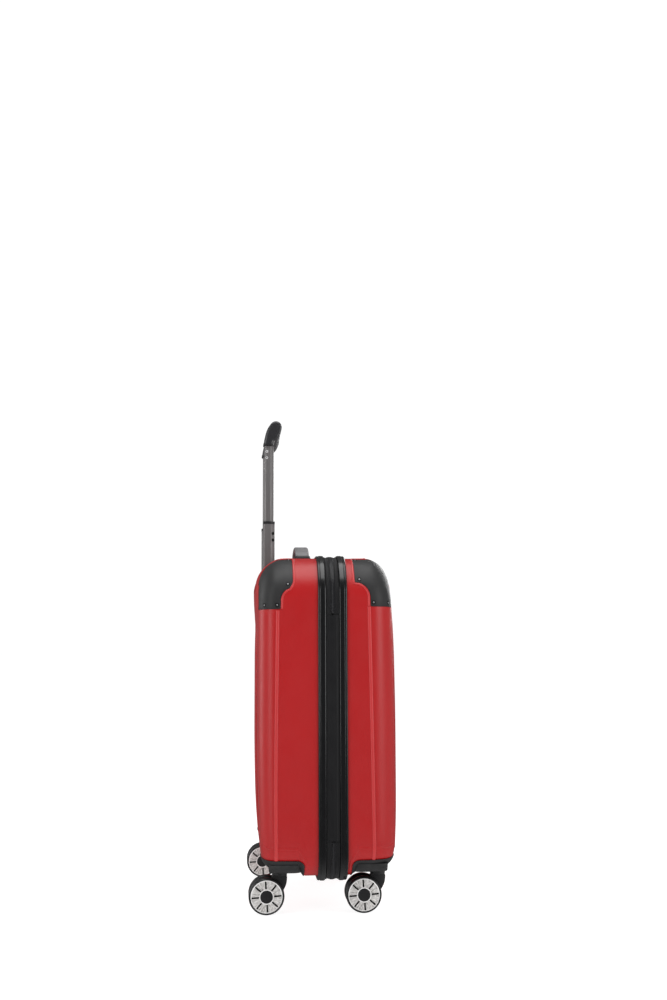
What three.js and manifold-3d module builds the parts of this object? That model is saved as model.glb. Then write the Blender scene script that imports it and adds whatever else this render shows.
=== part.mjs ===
// Hard-shell cabin suitcase on four twin-wheel casters, with a two-stage trolley handle.
// Millimetres, +Z up. X is the case's width (hinge side at -X, lock side at +X),
// the front shell faces -Y, and the zip lies in the plane y = 0 of the case frame.
// The exported group is shifted so that the origin is under the middle of the whole object, on the floor.
import * as THREE from "three";
import { mergeVertices } from "three/addons/utils/BufferGeometryUtils.js";
import Module from "manifold-3d";

const wasm = await Module();
wasm.setup();

// ---------------------------------------------------------------- driving dimensions
const CENTRE_X = 11.5; // middle of the object in the case frame: the side handle reaches past the lock side
const CENTRE_Y = 13.75; // and the rear wheels trail behind the back shell

const GAP = 0.3; // between fixed neighbours
const RUN = 0.4; // between a moving piece and its guide

const SHELL_HALF_WIDTH = 198.5;
const SHELL_TOP = 546;
const SHELL_BOTTOM = 52;
const OUTLINE_R = 66; // upper corner radius of the shell's outline, seen from the front
const FOOT_R = 48; // and the lower one
const CORNER_STEPS = 5; // facets round each corner of the outline
const WALL = 2;
const SHELL_EDGE = 12.7; // distance of each shell's open edge from the zip plane
const BOTTOM_ROUND = 22; // radius where the underside turns into the front or back face
const RIM_RISE = 3.5; // the underside climbs this much just past the rim
const CASTER_RISE = 12.5; // and this much more over the casters

// Each half: which way it points, its depth, how its sides and top round off, where the underside
// steps up over the casters, and how its face leans in.
const BACK = {
  sign: 1,
  depth: 114.2,
  sideRun: 26,
  sideDrop: 38,
  topRound: 45,
  caster: [42, 54],
  lean: (z) => (z < 280 ? 5.5 * ((280 - z) / 200) ** 2 : 0),
  stemY: 79.8,
  wheelY: 100,
  guard: { inner: 61.5, lobe: 80.5, foot: 463, step: 503 },
  housing: { inner: 43.5, top: 82.5, outerTop: 84.5 },
};
const FRONT = {
  sign: -1,
  depth: 100,
  sideRun: 38,
  sideDrop: 42,
  topRound: 44,
  caster: [28, 40],
  lean: (z) => (z < 260 ? 1.5 * ((260 - z) / 200) ** 2 : 3.2 * ((z - 260) / 218) ** 2),
  stemY: -72.3,
  wheelY: -49.4,
  guard: { inner: 35.5, lobe: 59.5, foot: 467, step: 504 },
  housing: { inner: 29.5, top: 82, outerTop: 84.5 },
};

const RIM_PROUD = 4;
const RIM_INNER = 10.7; // the rim's face next to the zip
const RIM_OUTER = 22.8;
const RIM_LIP = 1.6; // thickness of the lip folded over the shell's edge
const LIP_DEPTH = 6;

const ZIP_PROUD = 2;
const ZIP_THICK = 3;
const ZIP_WIDTH = 10;
const STRIP_BOTTOM = 113.3; // the fabric hinge takes the zip's place between these heights
const STRIP_TOP = 453.7;
const STRIP_HALF_WIDTH = 10.2;

const GUARD_REACH = 70; // how far a corner guard reaches in from the side
const GUARD_PROUD = 1.2;
const HOUSING_PROUD = 3;
const HOUSING_REACH = 79;

const STEM_X = 148;
const BOSS_R = 16;
const BOSS_BOTTOM = 62;
const BOSS_TOP = 80;
const PIN_R = 5;
const WHEEL_R = 27.5;
const WHEEL_INNER = 6.2; // from the fork's middle plane to the wheel's inner face
const WHEEL_OUTER = 19.6;
const AXLE_R = 3;
const ARM_HALF = 5.5;

const POLE_X = 60;
const POLE_Y = 95.5;
const TUBE = {
  inner: { width: 18.8, depth: 15.5, bottom: 435, top: 741.6 },
  middle: { width: 22.4, depth: 19.2, bottom: 274.5, top: 611.8 },
  outer: { width: 26, depth: 22.8, bottom: 162, top: 497 },
};
const TUBE_WALL = 1.5;
const WELL_HALF_WIDTH = 78; // recess in the back shell that takes the lowered grip
const WELL_FRONT = 71;
const WELL_FLOOR = 500;
const WELL_WALL = 2.5;
const GRIP_BOTTOM = 742;
const GRIP_HALF_SPAN = 72.4;
const LEG_HALF_WIDTH = 12.4;

const HANDLE_HALF = 66; // carry handle, measured from its middle
const HANDLE_WIDTH = 23;
const HANDLE_HEIGHT = 27;
const HANDLE_THICK = 6;
const HANDLE_Y = 39.5;
const SIDE_HANDLE_Z = 300;
const BASE_HALF = 80;
const BASE_WIDTH = 30;

const LOCK = { x0: 186, x1: 201, y0: -56, y1: -27, z0: 262, z1: 338 };
const DIAL_R = 8.5;
const DIAL_X = 194.6;
const DIAL_Z = [275, 286, 297];
const SLIDER_Z = { upper: 340, lower: 288 };

// ---------------------------------------------------------------- materials
const standard = (color, roughness, metalness = 0) =>
  new THREE.MeshStandardMaterial({ color, roughness, metalness });
const redShell = standard(0xb0262b, 0.38);
const charcoal = standard(0x353537, 0.5);
const glossBlack = standard(0x16171a, 0.22);
const blackFabric = standard(0x1a1a1c, 0.8);
const gunmetal = standard(0x6e6967, 0.35, 0.8);
const darkPlastic = standard(0x2e2d30, 0.45);
const softGrip = standard(0x3a3a3d, 0.6);
const tyreRubber = standard(0x202022, 0.6);
const steel = standard(0x9a9a9c, 0.3, 0.9);
const greyFabric = standard(0x4b4d52, 0.9);

// ---------------------------------------------------------------- solids
const X = new THREE.Vector3(1, 0, 0);
const Y = new THREE.Vector3(0, 1, 0);
const Z = new THREE.Vector3(0, 0, 1);

function fromArrays(vertProperties, triVerts) {
  const made = new wasm.Manifold(new wasm.Mesh({ numProp: 3, vertProperties, triVerts }));
  if (made.volume() > 0) return made;
  const turned = triVerts.slice();
  for (let i = 0; i < turned.length; i += 3) {
    turned[i] = triVerts[i + 1];
    turned[i + 1] = triVerts[i];
  }
  return new wasm.Manifold(new wasm.Mesh({ numProp: 3, vertProperties, triVerts: turned }));
}

function solid(geometry) {
  const bare = new THREE.BufferGeometry();
  bare.setAttribute("position", geometry.getAttribute("position"));
  if (geometry.index) bare.setIndex(geometry.index);
  const merged = mergeVertices(bare, 1e-4);
  return fromArrays(
    new Float32Array(merged.attributes.position.array),
    new Uint32Array(merged.index.array),
  );
}

const join = (first, ...rest) => rest.reduce((a, b) => a.add(b), first);
const cut = (first, ...rest) => rest.reduce((a, b) => a.subtract(b), first);
const common = (first, ...rest) => rest.reduce((a, b) => a.intersect(b), first);

function mesh(name, body, material) {
  const data = body.getMesh();
  const geometry = new THREE.BufferGeometry();
  geometry.setAttribute("position", new THREE.BufferAttribute(data.vertProperties.slice(), 3));
  geometry.setIndex(new THREE.BufferAttribute(data.triVerts.slice(), 1));
  const made = new THREE.Mesh(geometry.toNonIndexed(), material);
  made.geometry.computeVertexNormals();
  made.name = name;
  return made;
}

function box(x0, x1, y0, y1, z0, z1) {
  const geometry = new THREE.BoxGeometry(x1 - x0, y1 - y0, z1 - z0);
  geometry.translate((x0 + x1) / 2, (y0 + y1) / 2, (z0 + z1) / 2);
  return solid(geometry);
}

// A prism: the outline's two coordinates run along axes a and b, and it is drawn out from `from` along c.
function prism(points, a, b, c, from, length) {
  const shape = new THREE.Shape(points.map(([u, v]) => new THREE.Vector2(u, v)));
  const geometry = new THREE.ExtrudeGeometry(shape, { depth: length, bevelEnabled: false });
  const place = new THREE.Matrix4().makeBasis(a, b, c);
  place.setPosition(c.clone().multiplyScalar(from));
  geometry.applyMatrix4(place);
  return solid(geometry);
}
const prismX = (points, x0, x1) => prism(points, Y, Z, X, x0, x1 - x0);
const prismY = (points, y0, y1) => prism(points, X, Z, Y.clone().negate(), -y1, y1 - y0);
const prismZ = (points, z0, z1) => prism(points, X, Y, Z, z0, z1 - z0);

function cylinder(axis, r, from, to, a, b, segments = 24) {
  const geometry = new THREE.CylinderGeometry(r, r, to - from, segments);
  const middle = (from + to) / 2;
  if (axis === "x") {
    geometry.rotateZ(Math.PI / 2);
    geometry.translate(middle, a, b);
  } else if (axis === "z") {
    geometry.rotateX(Math.PI / 2);
    geometry.translate(a, b, middle);
  } else {
    geometry.translate(a, middle, b);
  }
  return solid(geometry);
}

function arcPoints(cx, cy, r, from, to, steps) {
  const points = [];
  for (let i = 0; i <= steps; i++) {
    const t = THREE.MathUtils.degToRad(from + ((to - from) * i) / steps);
    points.push([cx + r * Math.cos(t), cy + r * Math.sin(t)]);
  }
  return points;
}

// A rounded rectangle in (x, z), with points along its upright edges so that a leaning face stays smooth.
function roundedOutline({ half, bottom, top, r, footR = r }, edgeSteps = 0) {
  const corners = [
    [half - footR, bottom + footR, footR],
    [half - r, top - r, r],
    [r - half, top - r, r],
    [footR - half, bottom + footR, footR],
  ];
  const points = [];
  corners.forEach(([cx, cz, radius], i) => {
    const start = 90 * (i - 1);
    points.push(...arcPoints(cx, cz, radius, start, start + 90, CORNER_STEPS));
    if (i % 2 === 1) return;
    const [x, z] = points.at(-1);
    const end = i === 0 ? top - r : bottom + footR;
    for (let k = 1; k <= edgeSteps; k++) points.push([x, z + ((end - z) * k) / (edgeSteps + 1)]);
  });
  return points;
}

const rimOutline = (offset) =>
  roundedOutline({
    half: SHELL_HALF_WIDTH + offset,
    bottom: SHELL_BOTTOM - offset,
    top: SHELL_TOP + offset,
    r: OUTLINE_R + offset,
    footR: FOOT_R + offset,
  });

// ---------------------------------------------------------------- the shells' form
// How far a surface has turned in at distance u from the zip plane, on an elliptical round.
function roundOff(u, depth, run, drop) {
  const t = Math.max(0, u - (depth - run)) / run;
  return drop * (1 - Math.sqrt(Math.max(0, 1 - t * t)));
}

function smooth(from, to, u) {
  const t = THREE.MathUtils.clamp((u - from) / (to - from), 0, 1);
  return t * t * (3 - 2 * t);
}

// The shell's outline at distance u from the zip plane; a positive offset lies outside the shell.
function section(half, u, offset) {
  const depth = half.depth + offset;
  const side = roundOff(u, depth, half.sideRun + offset, half.sideDrop + offset);
  const top = roundOff(u, depth, half.topRound + offset, half.topRound + offset);
  const foot = roundOff(u, depth, BOTTOM_ROUND + offset, BOTTOM_ROUND + offset);
  const rise = RIM_RISE * smooth(14, 23, u) + CASTER_RISE * smooth(...half.caster, u);
  return {
    half: SHELL_HALF_WIDTH + offset - side,
    top: SHELL_TOP + offset - top,
    bottom: SHELL_BOTTOM - offset + foot + rise,
    r: OUTLINE_R + offset - 0.3 * (side + top),
    footR: FOOT_R + offset - 0.3 * (side + foot),
  };
}

const STATIONS = [44, 34, 24, 14, 6, 1.5, 0]; // rings before the face, measured back from it

// The closed solid inside the shell's surface (or a parallel one), from distance `start` to the face.
function shellBody(half, offset, start) {
  const depth = half.depth + offset;
  const stations = [start, 23, ...half.caster, ...STATIONS.map((d) => depth - d)];
  const rings = stations.map((u) => ({ u, points: roundedOutline(section(half, u, offset), 4) }));
  const last = rings.at(-1);
  const middle = (SHELL_TOP + SHELL_BOTTOM) / 2;
  const inset = last.points.map(([x, z]) => [x * 0.55, middle + (z - middle) * 0.55]);
  rings.push({ u: last.u, points: inset });

  const count = last.points.length;
  const vertices = [];
  const place = (x, z, u) => {
    const weight = Math.max(0, (u - 24) / (half.depth - 24)) ** 2;
    vertices.push(x, half.sign * (u - half.lean(z) * weight), z);
  };
  rings.forEach(({ u, points }) => points.forEach(([x, z]) => place(x, z, u)));
  place(0, middle, last.u);
  place(0, middle, start);
  const faceCentre = rings.length * count;
  const triangles = [];
  for (let k = 0; k < count; k++) {
    const next = (k + 1) % count;
    for (let i = 0; i + 1 < rings.length; i++) {
      const [a, b] = [i * count + k, i * count + next];
      triangles.push(a, b, b + count, a, b + count, a + count);
    }
    const end = (rings.length - 1) * count;
    triangles.push(end + k, end + next, faceCentre);
    triangles.push(next, k, faceCentre + 1);
  }
  return fromArrays(new Float32Array(vertices), new Uint32Array(triangles));
}

const insideOf = { back: shellBody(BACK, 0, SHELL_EDGE), front: shellBody(FRONT, 0, SHELL_EDGE) };

function casterHole(half, side) {
  return cylinder("z", BOSS_R + 0.5, 30, 90, side * STEM_X, half.stemY, 20);
}

// ---------------------------------------------------------------- back shell and what is set into it
function buildBackShell() {
  const inside = shellBody(BACK, -WALL, SHELL_EDGE - 5);
  const wellCut = box(
    -WELL_HALF_WIDTH - RUN, WELL_HALF_WIDTH + RUN,
    WELL_FRONT - RUN, BACK.depth + 10,
    WELL_FLOOR - WELL_WALL - RUN, SHELL_TOP + 10,
  );
  const halfBase = BASE_HALF + RUN;
  const baseY = [HANDLE_Y - BASE_WIDTH / 2 - RUN, HANDLE_Y + BASE_WIDTH / 2 + RUN];
  const topCut = box(-halfBase, halfBase, ...baseY, SHELL_TOP - 8, SHELL_TOP + 8);
  const sideCut = box(
    SHELL_HALF_WIDTH - 8, SHELL_HALF_WIDTH + 8,
    ...baseY,
    SIDE_HANDLE_Z - halfBase, SIDE_HANDLE_Z + halfBase,
  );
  const holes = [-1, 1].map((side) => casterHole(BACK, side));
  return cut(insideOf.back, inside, wellCut, topCut, sideCut, ...holes);
}

function buildFrontShell() {
  const inside = shellBody(FRONT, -WALL, SHELL_EDGE - 5);
  const lockCut = box(
    LOCK.x0, LOCK.x1 + 10,
    LOCK.y0 - RUN, LOCK.y1 + RUN,
    LOCK.z0 - RUN, LOCK.z1 + RUN,
  );
  const holes = [-1, 1].map((side) => casterHole(FRONT, side));
  return cut(insideOf.front, inside, lockCut, ...holes);
}

// A slot through the well's floor for one pole.
function poleSlot(side, clearance) {
  const { width, depth } = TUBE.middle;
  const x = side * POLE_X;
  return box(
    x - width / 2 - clearance, x + width / 2 + clearance,
    POLE_Y - depth / 2 - clearance, POLE_Y + depth / 2 + clearance,
    WELL_FLOOR - 10, WELL_FLOOR + 10,
  );
}

function buildHandleWell() {
  const w = WELL_HALF_WIDTH;
  const block = box(-w, w, WELL_FRONT, BACK.depth + 5, WELL_FLOOR - WELL_WALL, SHELL_TOP + 5);
  const hollow = box(
    WELL_WALL - w, w - WELL_WALL,
    WELL_FRONT + WELL_WALL, BACK.depth + 9,
    WELL_FLOOR, SHELL_TOP + 9,
  );
  return cut(common(block, insideOf.back), hollow, poleSlot(-1, RUN), poleSlot(1, RUN));
}

// ---------------------------------------------------------------- rims, zip and hinge
function ring(outerOffset, innerOffset, y0, y1) {
  return cut(
    prismY(rimOutline(outerOffset), y0, y1),
    prismY(rimOutline(innerOffset), y0 - 1, y1 + 1),
  );
}

function buildRim(half) {
  const span = (near, far) => (half.sign > 0 ? [near, far] : [-far, -near]);
  const band = ring(RIM_PROUD, GAP, ...span(RIM_INNER, RIM_OUTER));
  const lip = ring(GAP + 1, -LIP_DEPTH, ...span(RIM_INNER, RIM_INNER + RIM_LIP));
  return join(band, lip);
}

function buildZipTape(half) {
  const span = half.sign > 0 ? [0.2, ZIP_WIDTH] : [-ZIP_WIDTH, -0.2];
  const tape = ring(ZIP_PROUD, ZIP_PROUD - ZIP_THICK, ...span);
  const hingeGap = box(-220, -150, -20, 20, STRIP_BOTTOM - GAP, STRIP_TOP + GAP);
  return cut(tape, hingeGap);
}

function buildHingeStrip() {
  const outer = -SHELL_HALF_WIDTH - ZIP_PROUD - 1;
  return box(
    outer, outer + ZIP_THICK,
    -STRIP_HALF_WIDTH, STRIP_HALF_WIDTH,
    STRIP_BOTTOM, STRIP_TOP,
  );
}

// ---------------------------------------------------------------- corner guards and caster housings
// The guard's outline on one face: an L whose inner corner is a round bite.
function guardOutline(near, lobe, foot, step, far, top) {
  const r = lobe - near;
  const bite = arcPoints(near, foot + 14, r, 80, 0, 4);
  return [[near, step], ...bite, [lobe, foot], [far, foot], [far, top], [near, top]];
}

function buildGuard(half, side) {
  const { inner, lobe, foot, step } = half.guard;
  const start = SHELL_EDGE;
  const skin = cut(shellBody(half, GUARD_PROUD, start), shellBody(half, GAP, start));
  const reach = SHELL_HALF_WIDTH - GUARD_REACH;
  const sideView = guardOutline(inner, lobe, foot, step, 130, 560).map(([u, z]) => [half.sign * u, z]);
  const backNotch = box(reach - 1, reach + 20, -130, 130, 0, step);
  const topNotch = prismZ(
    [[reach - 1, 0], [reach + 20, 0], [reach + 20, half.sign * lobe], [reach - 1, half.sign * lobe]],
    0, 600,
  );
  const corner = cut(prismX(sideView, reach, 220), backNotch, topNotch);
  const guard = common(skin, corner);
  return side > 0 ? guard : guard.mirror([1, 0, 0]);
}

function buildHousing(half, side) {
  const { inner, top, outerTop } = half.housing;
  const start = SHELL_EDGE;
  const skin = cut(shellBody(half, HOUSING_PROUD, start), shellBody(half, GAP, start));
  const outline = [
    [inner, 40],
    [inner, top - 8],
    ...arcPoints(inner + 8, top - 8, 8, 180, 90, 3).slice(1),
    [130, outerTop],
    [130, 40],
  ].map(([u, z]) => [half.sign * u, z]);
  const reach = SHELL_HALF_WIDTH - HOUSING_REACH;
  const wrap = common(skin, prismX(outline, reach, 220));
  const boss = cylinder("z", BOSS_R, BOSS_BOTTOM, BOSS_TOP, STEM_X, half.stemY, 20);
  const bore = cylinder("z", PIN_R + RUN, BOSS_BOTTOM - 1, BOSS_TOP - 3, STEM_X, half.stemY, 16);
  const housing = cut(join(wrap, boss), bore);
  return side > 0 ? housing : housing.mirror([1, 0, 0]);
}

// ---------------------------------------------------------------- casters
function buildFork(half, side) {
  const x = side * STEM_X;
  const y = half.stemY;
  const hub = [half.wheelY, WHEEL_R];
  const stemR = 11.5;
  const neck = 2 * WHEEL_R + 0.8;
  const pin = cylinder("z", PIN_R, neck, BOSS_TOP - 4, x, y, 16);
  const stem = cylinder("z", stemR, neck, BOSS_BOTTOM - 0.5, x, y, 20);
  const arm = prismX(
    [
      [y - stemR, neck + 1],
      [y - stemR, 48],
      [y - 8, 38],
      [y - 1, 29],
      ...arcPoints(...hub, 9, 220, 450, 7),
      [y + stemR, 46],
      [y + stemR, neck + 1],
    ],
    x - ARM_HALF, x + ARM_HALF,
  );
  const bore = cylinder("x", AXLE_R + GAP, x - 10, x + 10, ...hub, 16);
  return cut(join(stem, pin, arm), bore);
}

const buildAxle = (half, side) =>
  cylinder("x", AXLE_R, side * STEM_X - 19, side * STEM_X + 19, half.wheelY, WHEEL_R, 24);

// A twin wheel: tyre edge rounded, outer face recessed for its trim disc.
function buildWheel(half, side, outward) {
  const profile = [
    [AXLE_R + 0.1, WHEEL_INNER],
    [24, WHEEL_INNER],
    [WHEEL_R, WHEEL_INNER + 3],
    [WHEEL_R, WHEEL_OUTER - 3.4],
    [25.4, WHEEL_OUTER],
    [24.6, WHEEL_OUTER - 1],
    [AXLE_R + 0.1, WHEEL_OUTER - 1],
  ];
  const points = [...profile, profile[0]].map(([r, w]) => new THREE.Vector2(r, w));
  const geometry = new THREE.LatheGeometry(points, 24);
  geometry.rotateZ((-outward * Math.PI) / 2);
  geometry.translate(side * STEM_X, half.wheelY, WHEEL_R);
  return solid(geometry);
}

// ---------------------------------------------------------------- trolley handle
// A tube's section: wide chamfers towards the front, small ones at the back.
function tubeSection(x, width, depth, chamfer) {
  const [w, d] = [width / 2, depth / 2];
  const [front, flank, rear] = [0.32 * depth * chamfer, 0.2 * width * chamfer, 1.8 * chamfer];
  return [
    [x - w + flank, POLE_Y - d],
    [x + w - flank, POLE_Y - d],
    [x + w, POLE_Y - d + front],
    [x + w, POLE_Y + d - rear],
    [x + w - rear, POLE_Y + d],
    [x - w + rear, POLE_Y + d],
    [x - w, POLE_Y + d - rear],
    [x - w, POLE_Y - d + front],
  ];
}

function buildTube({ width, depth, bottom, top }, side) {
  const x = side * POLE_X;
  const w = 2 * TUBE_WALL;
  return cut(
    prismZ(tubeSection(x, width, depth, 1), bottom, top),
    prismZ(tubeSection(x, width - w, depth - w, 0.85), bottom - 1, top + 1),
  );
}

function buildTubeBracket() {
  const bottom = TUBE.outer.bottom;
  return box(-POLE_X - 15, POLE_X + 15, POLE_Y - 13, POLE_Y + 10, bottom - 12, bottom - GAP);
}

function buildGrip() {
  const leg = [
    [105.1, GRIP_BOTTOM],
    [103.9, 750],
    [102.2, 759.2],
    [99.7, 768],
    [96.4, 775],
    [85, 775],
    [83, 764.5],
    [85.5, 754.3],
    [89.1, GRIP_BOTTOM],
  ];
  const bar = [
    [92, 751],
    [95.6, 756],
    [97.8, 763],
    [96.8, 771],
    [93.4, 778.2],
    [89.2, 782],
    [85, 783.6],
    [80.4, 782.8],
    [76.8, 780.2],
    [74.3, 775.6],
    [74.2, 770],
    [76, 764],
    [79.2, 757.4],
    [83, 752.4],
    [87.6, 750],
  ];
  const socket = box(-16.4, 16.4, 80.6, 90.4, 771.4, 800);
  const legs = [-1, 1].map((side) => {
    const x = side * POLE_X;
    return prismX(leg, x - LEG_HALF_WIDTH, x + LEG_HALF_WIDTH);
  });
  const grip = join(prismX(bar, -GRIP_HALF_SPAN, GRIP_HALF_SPAN), ...legs);
  return cut(grip, socket);
}

const buildReleaseButton = () => box(-16, 16, 81, 90, 774, 785.2);

// ---------------------------------------------------------------- carry handles
// Local frame: u along the handle, v across it (the case's Y), h out of the shell.
const TOP_FRAME = new THREE.Matrix4().makeBasis(X, Y, Z).setPosition(0, HANDLE_Y, SHELL_TOP);
const SIDE_FRAME = new THREE.Matrix4()
  .makeBasis(Z.clone().negate(), Y, X)
  .setPosition(SHELL_HALF_WIDTH, HANDLE_Y, SIDE_HANDLE_Z);

function archOutline(half, height, r) {
  return [
    [-half, 1],
    ...arcPoints(r - half, height - r, r, 180, 90, 4),
    ...arcPoints(half - r, height - r, r, 90, 0, 4),
    [half, 1],
  ];
}

function placed(body, frame) {
  return body.transform(frame.elements.slice());
}

function buildCarryHandle(frame) {
  const v = HANDLE_WIDTH / 2;
  const outer = prismY(archOutline(HANDLE_HALF, HANDLE_HEIGHT, 18), -v, v);
  const inner = prismY(
    archOutline(HANDLE_HALF - HANDLE_THICK, HANDLE_HEIGHT - HANDLE_THICK, 13).map(([u, h]) =>
      h === 1 ? [u, -1] : [u, h],
    ),
    -v - 1, v + 1,
  );
  const legs = [-1, 1].map((side) => {
    const u = side * (HANDLE_HALF - HANDLE_THICK / 2);
    const shank = box(u - 2.5, u + 2.5, -8, 8, -20, 3);
    const foot = box(u - 4.5, u + 4.5, -10, 10, -21, -16);
    return join(shank, foot);
  });
  return placed(join(cut(outer, inner), ...legs), frame);
}

function buildHandleBase(frame) {
  const v = BASE_WIDTH / 2;
  const plate = box(-BASE_HALF, BASE_HALF, -v, v, -5, 0.5);
  const slots = [-1, 1].map((side) => {
    const u = side * (HANDLE_HALF - HANDLE_THICK / 2);
    return box(u - 2.5 - RUN, u + 2.5 + RUN, -8 - RUN, 8 + RUN, -8, 3);
  });
  return placed(cut(plate, ...slots), frame);
}

// ---------------------------------------------------------------- lock and zip pulls
const DIAL_Y = (LOCK.y0 + LOCK.y1) / 2;
const KEY_SLIDE = { y0: DIAL_Y - 4.5, y1: DIAL_Y + 4.5, z0: 314, z1: 324, travel: 6 };

function buildLockBody() {
  const { y0, y1, z0, z1, travel } = KEY_SLIDE;
  const dialPockets = DIAL_Z.map((z) =>
    join(
      cylinder("z", DIAL_R + RUN, z - 3.5, z + 3.5, DIAL_X, DIAL_Y, 20),
      box(DIAL_X, LOCK.x1 + 2, DIAL_Y - DIAL_R - RUN, DIAL_Y + DIAL_R + RUN, z - 3.5, z + 3.5),
    ),
  );
  const slideSlot = box(195, LOCK.x1 + 2, y0 - RUN, y1 + RUN, z0 - RUN, z1 + travel + RUN);
  const body = box(LOCK.x0, LOCK.x1, LOCK.y0, LOCK.y1, LOCK.z0, LOCK.z1);
  return cut(body, ...dialPockets, slideSlot);
}

const buildDial = (z) => cylinder("z", DIAL_R, z - 3, z + 3, DIAL_X, DIAL_Y, 20);

const buildLockSlide = () =>
  box(195 + RUN, LOCK.x1 + 2.5, KEY_SLIDE.y0, KEY_SLIDE.y1, KEY_SLIDE.z0, KEY_SLIDE.z1);

const SLIDER_X = SHELL_HALF_WIDTH + ZIP_PROUD + 0.7;
const TAB_X = SLIDER_X + 6.4;

function buildZipSlider(z) {
  const body = prismX(
    [[-3.5, z - 9], [3.5, z - 9], [5.5, z + 4], [3.5, z + 9], [-3.5, z + 9], [-5.5, z + 4]],
    SLIDER_X, SLIDER_X + 4,
  );
  const lug = box(SLIDER_X + 3, TAB_X + 2, -2, 2, z - 3, z + 3);
  return cut(join(body, lug), cylinder("y", 1.3, -5, 5, TAB_X, z, 12));
}

function buildPullTab(z) {
  const plate = box(TAB_X - 0.9, TAB_X + 0.9, -4.4, 4.4, z - 26, z - 4.6);
  const ears = [-1, 1].map((side) =>
    box(TAB_X - 1.5, TAB_X + 1.5, Math.min(side * 2.6, side * 4.4), Math.max(side * 2.6, side * 4.4), z - 6, z + 1.5),
  );
  const pin = cylinder("y", 0.9, -4, 4, TAB_X, z, 10);
  return join(plate, ...ears, pin);
}

// ---------------------------------------------------------------- inside the case
const STRAP = { y0: 14, y1: 15.6, height: 25, z: { upper: 392, lower: 196 } };

function buildStrap(z) {
  const reach = SHELL_HALF_WIDTH - WALL - GAP;
  return box(-reach, reach, STRAP.y0, STRAP.y1, z - STRAP.height / 2, z + STRAP.height / 2);
}

function buildBuckle(z) {
  const outline = [[-24, z - 11], [-20, z - 15], [20, z - 15], [24, z - 11], [24, z + 11], [20, z + 15], [-20, z + 15], [-24, z + 11]];
  return prismY(outline, STRAP.y0 - 6.5, STRAP.y0 - GAP);
}

const buildDivider = () => prismY(rimOutline(-WALL - 4), -16, -14);

// ---------------------------------------------------------------- the assembly
const suitcase = new THREE.Group();
suitcase.position.set(-CENTRE_X, -CENTRE_Y, 0);

const SIDES = { hinge_side: -1, lock_side: 1 };
const HALVES = { back: BACK, front: FRONT };

suitcase.add(
  mesh("back_shell", buildBackShell(), redShell),
  mesh("front_shell", buildFrontShell(), redShell),
  mesh("hinge_strip", buildHingeStrip(), blackFabric),
  mesh("handle_well", buildHandleWell(), darkPlastic),
  mesh("tube_bracket", buildTubeBracket(), darkPlastic),
  mesh("grip", buildGrip(), darkPlastic),
  mesh("release_button", buildReleaseButton(), glossBlack),
  mesh("top_handle", buildCarryHandle(TOP_FRAME), softGrip),
  mesh("top_handle_base", buildHandleBase(TOP_FRAME), darkPlastic),
  mesh("side_handle", buildCarryHandle(SIDE_FRAME), softGrip),
  mesh("side_handle_base", buildHandleBase(SIDE_FRAME), darkPlastic),
  mesh("lock_body", buildLockBody(), glossBlack),
  mesh("lock_slide", buildLockSlide(), charcoal),
  mesh("divider_panel", buildDivider(), greyFabric),
);

DIAL_Z.forEach((z, i) => suitcase.add(mesh(`lock_dial_${i + 1}`, buildDial(z), charcoal)));

for (const [name, z] of Object.entries(SLIDER_Z)) {
  suitcase.add(mesh(`zip_slider_${name}`, buildZipSlider(z), steel));
  suitcase.add(mesh(`zip_pull_${name}`, buildPullTab(z), steel));
}

for (const [name, z] of Object.entries(STRAP.z)) {
  suitcase.add(mesh(`packing_strap_${name}`, buildStrap(z), blackFabric));
  suitcase.add(mesh(`strap_buckle_${name}`, buildBuckle(z), darkPlastic));
}

for (const [halfName, half] of Object.entries(HALVES)) {
  suitcase.add(mesh(`${halfName}_rim`, buildRim(half), glossBlack));
  suitcase.add(mesh(`${halfName}_zip_tape`, buildZipTape(half), blackFabric));
}

for (const [sideName, side] of Object.entries(SIDES)) {
  for (const [stage, size] of Object.entries(TUBE)) {
    suitcase.add(mesh(`${stage}_tube_${sideName}`, buildTube(size, side), gunmetal));
  }
  for (const [halfName, half] of Object.entries(HALVES)) {
    const place = `${halfName}_${sideName}`;
    suitcase.add(
      mesh(`corner_guard_${place}`, buildGuard(half, side), charcoal),
      mesh(`caster_housing_${place}`, buildHousing(half, side), charcoal),
      mesh(`caster_fork_${place}`, buildFork(half, side), darkPlastic),
      mesh(`axle_${place}`, buildAxle(half, side), steel),
      mesh(`wheel_${place}_outer`, buildWheel(half, side, side), tyreRubber),
      mesh(`wheel_${place}_inner`, buildWheel(half, side, -side), tyreRubber),
    );
  }
}

export default suitcase;
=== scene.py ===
# Looks of the red hard-shell cabin suitcase: shells, corner guards, rims, zip, casters, handles and lining.
# Lengths are millimetres in the case frame until place() turns them into metres in the model's own frame:
# x = width, y = depth with the zip at 0, z = height from the floor. u is the distance from the zip plane.
import math

import bmesh
import bpy
from mathutils import Matrix, Vector


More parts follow.
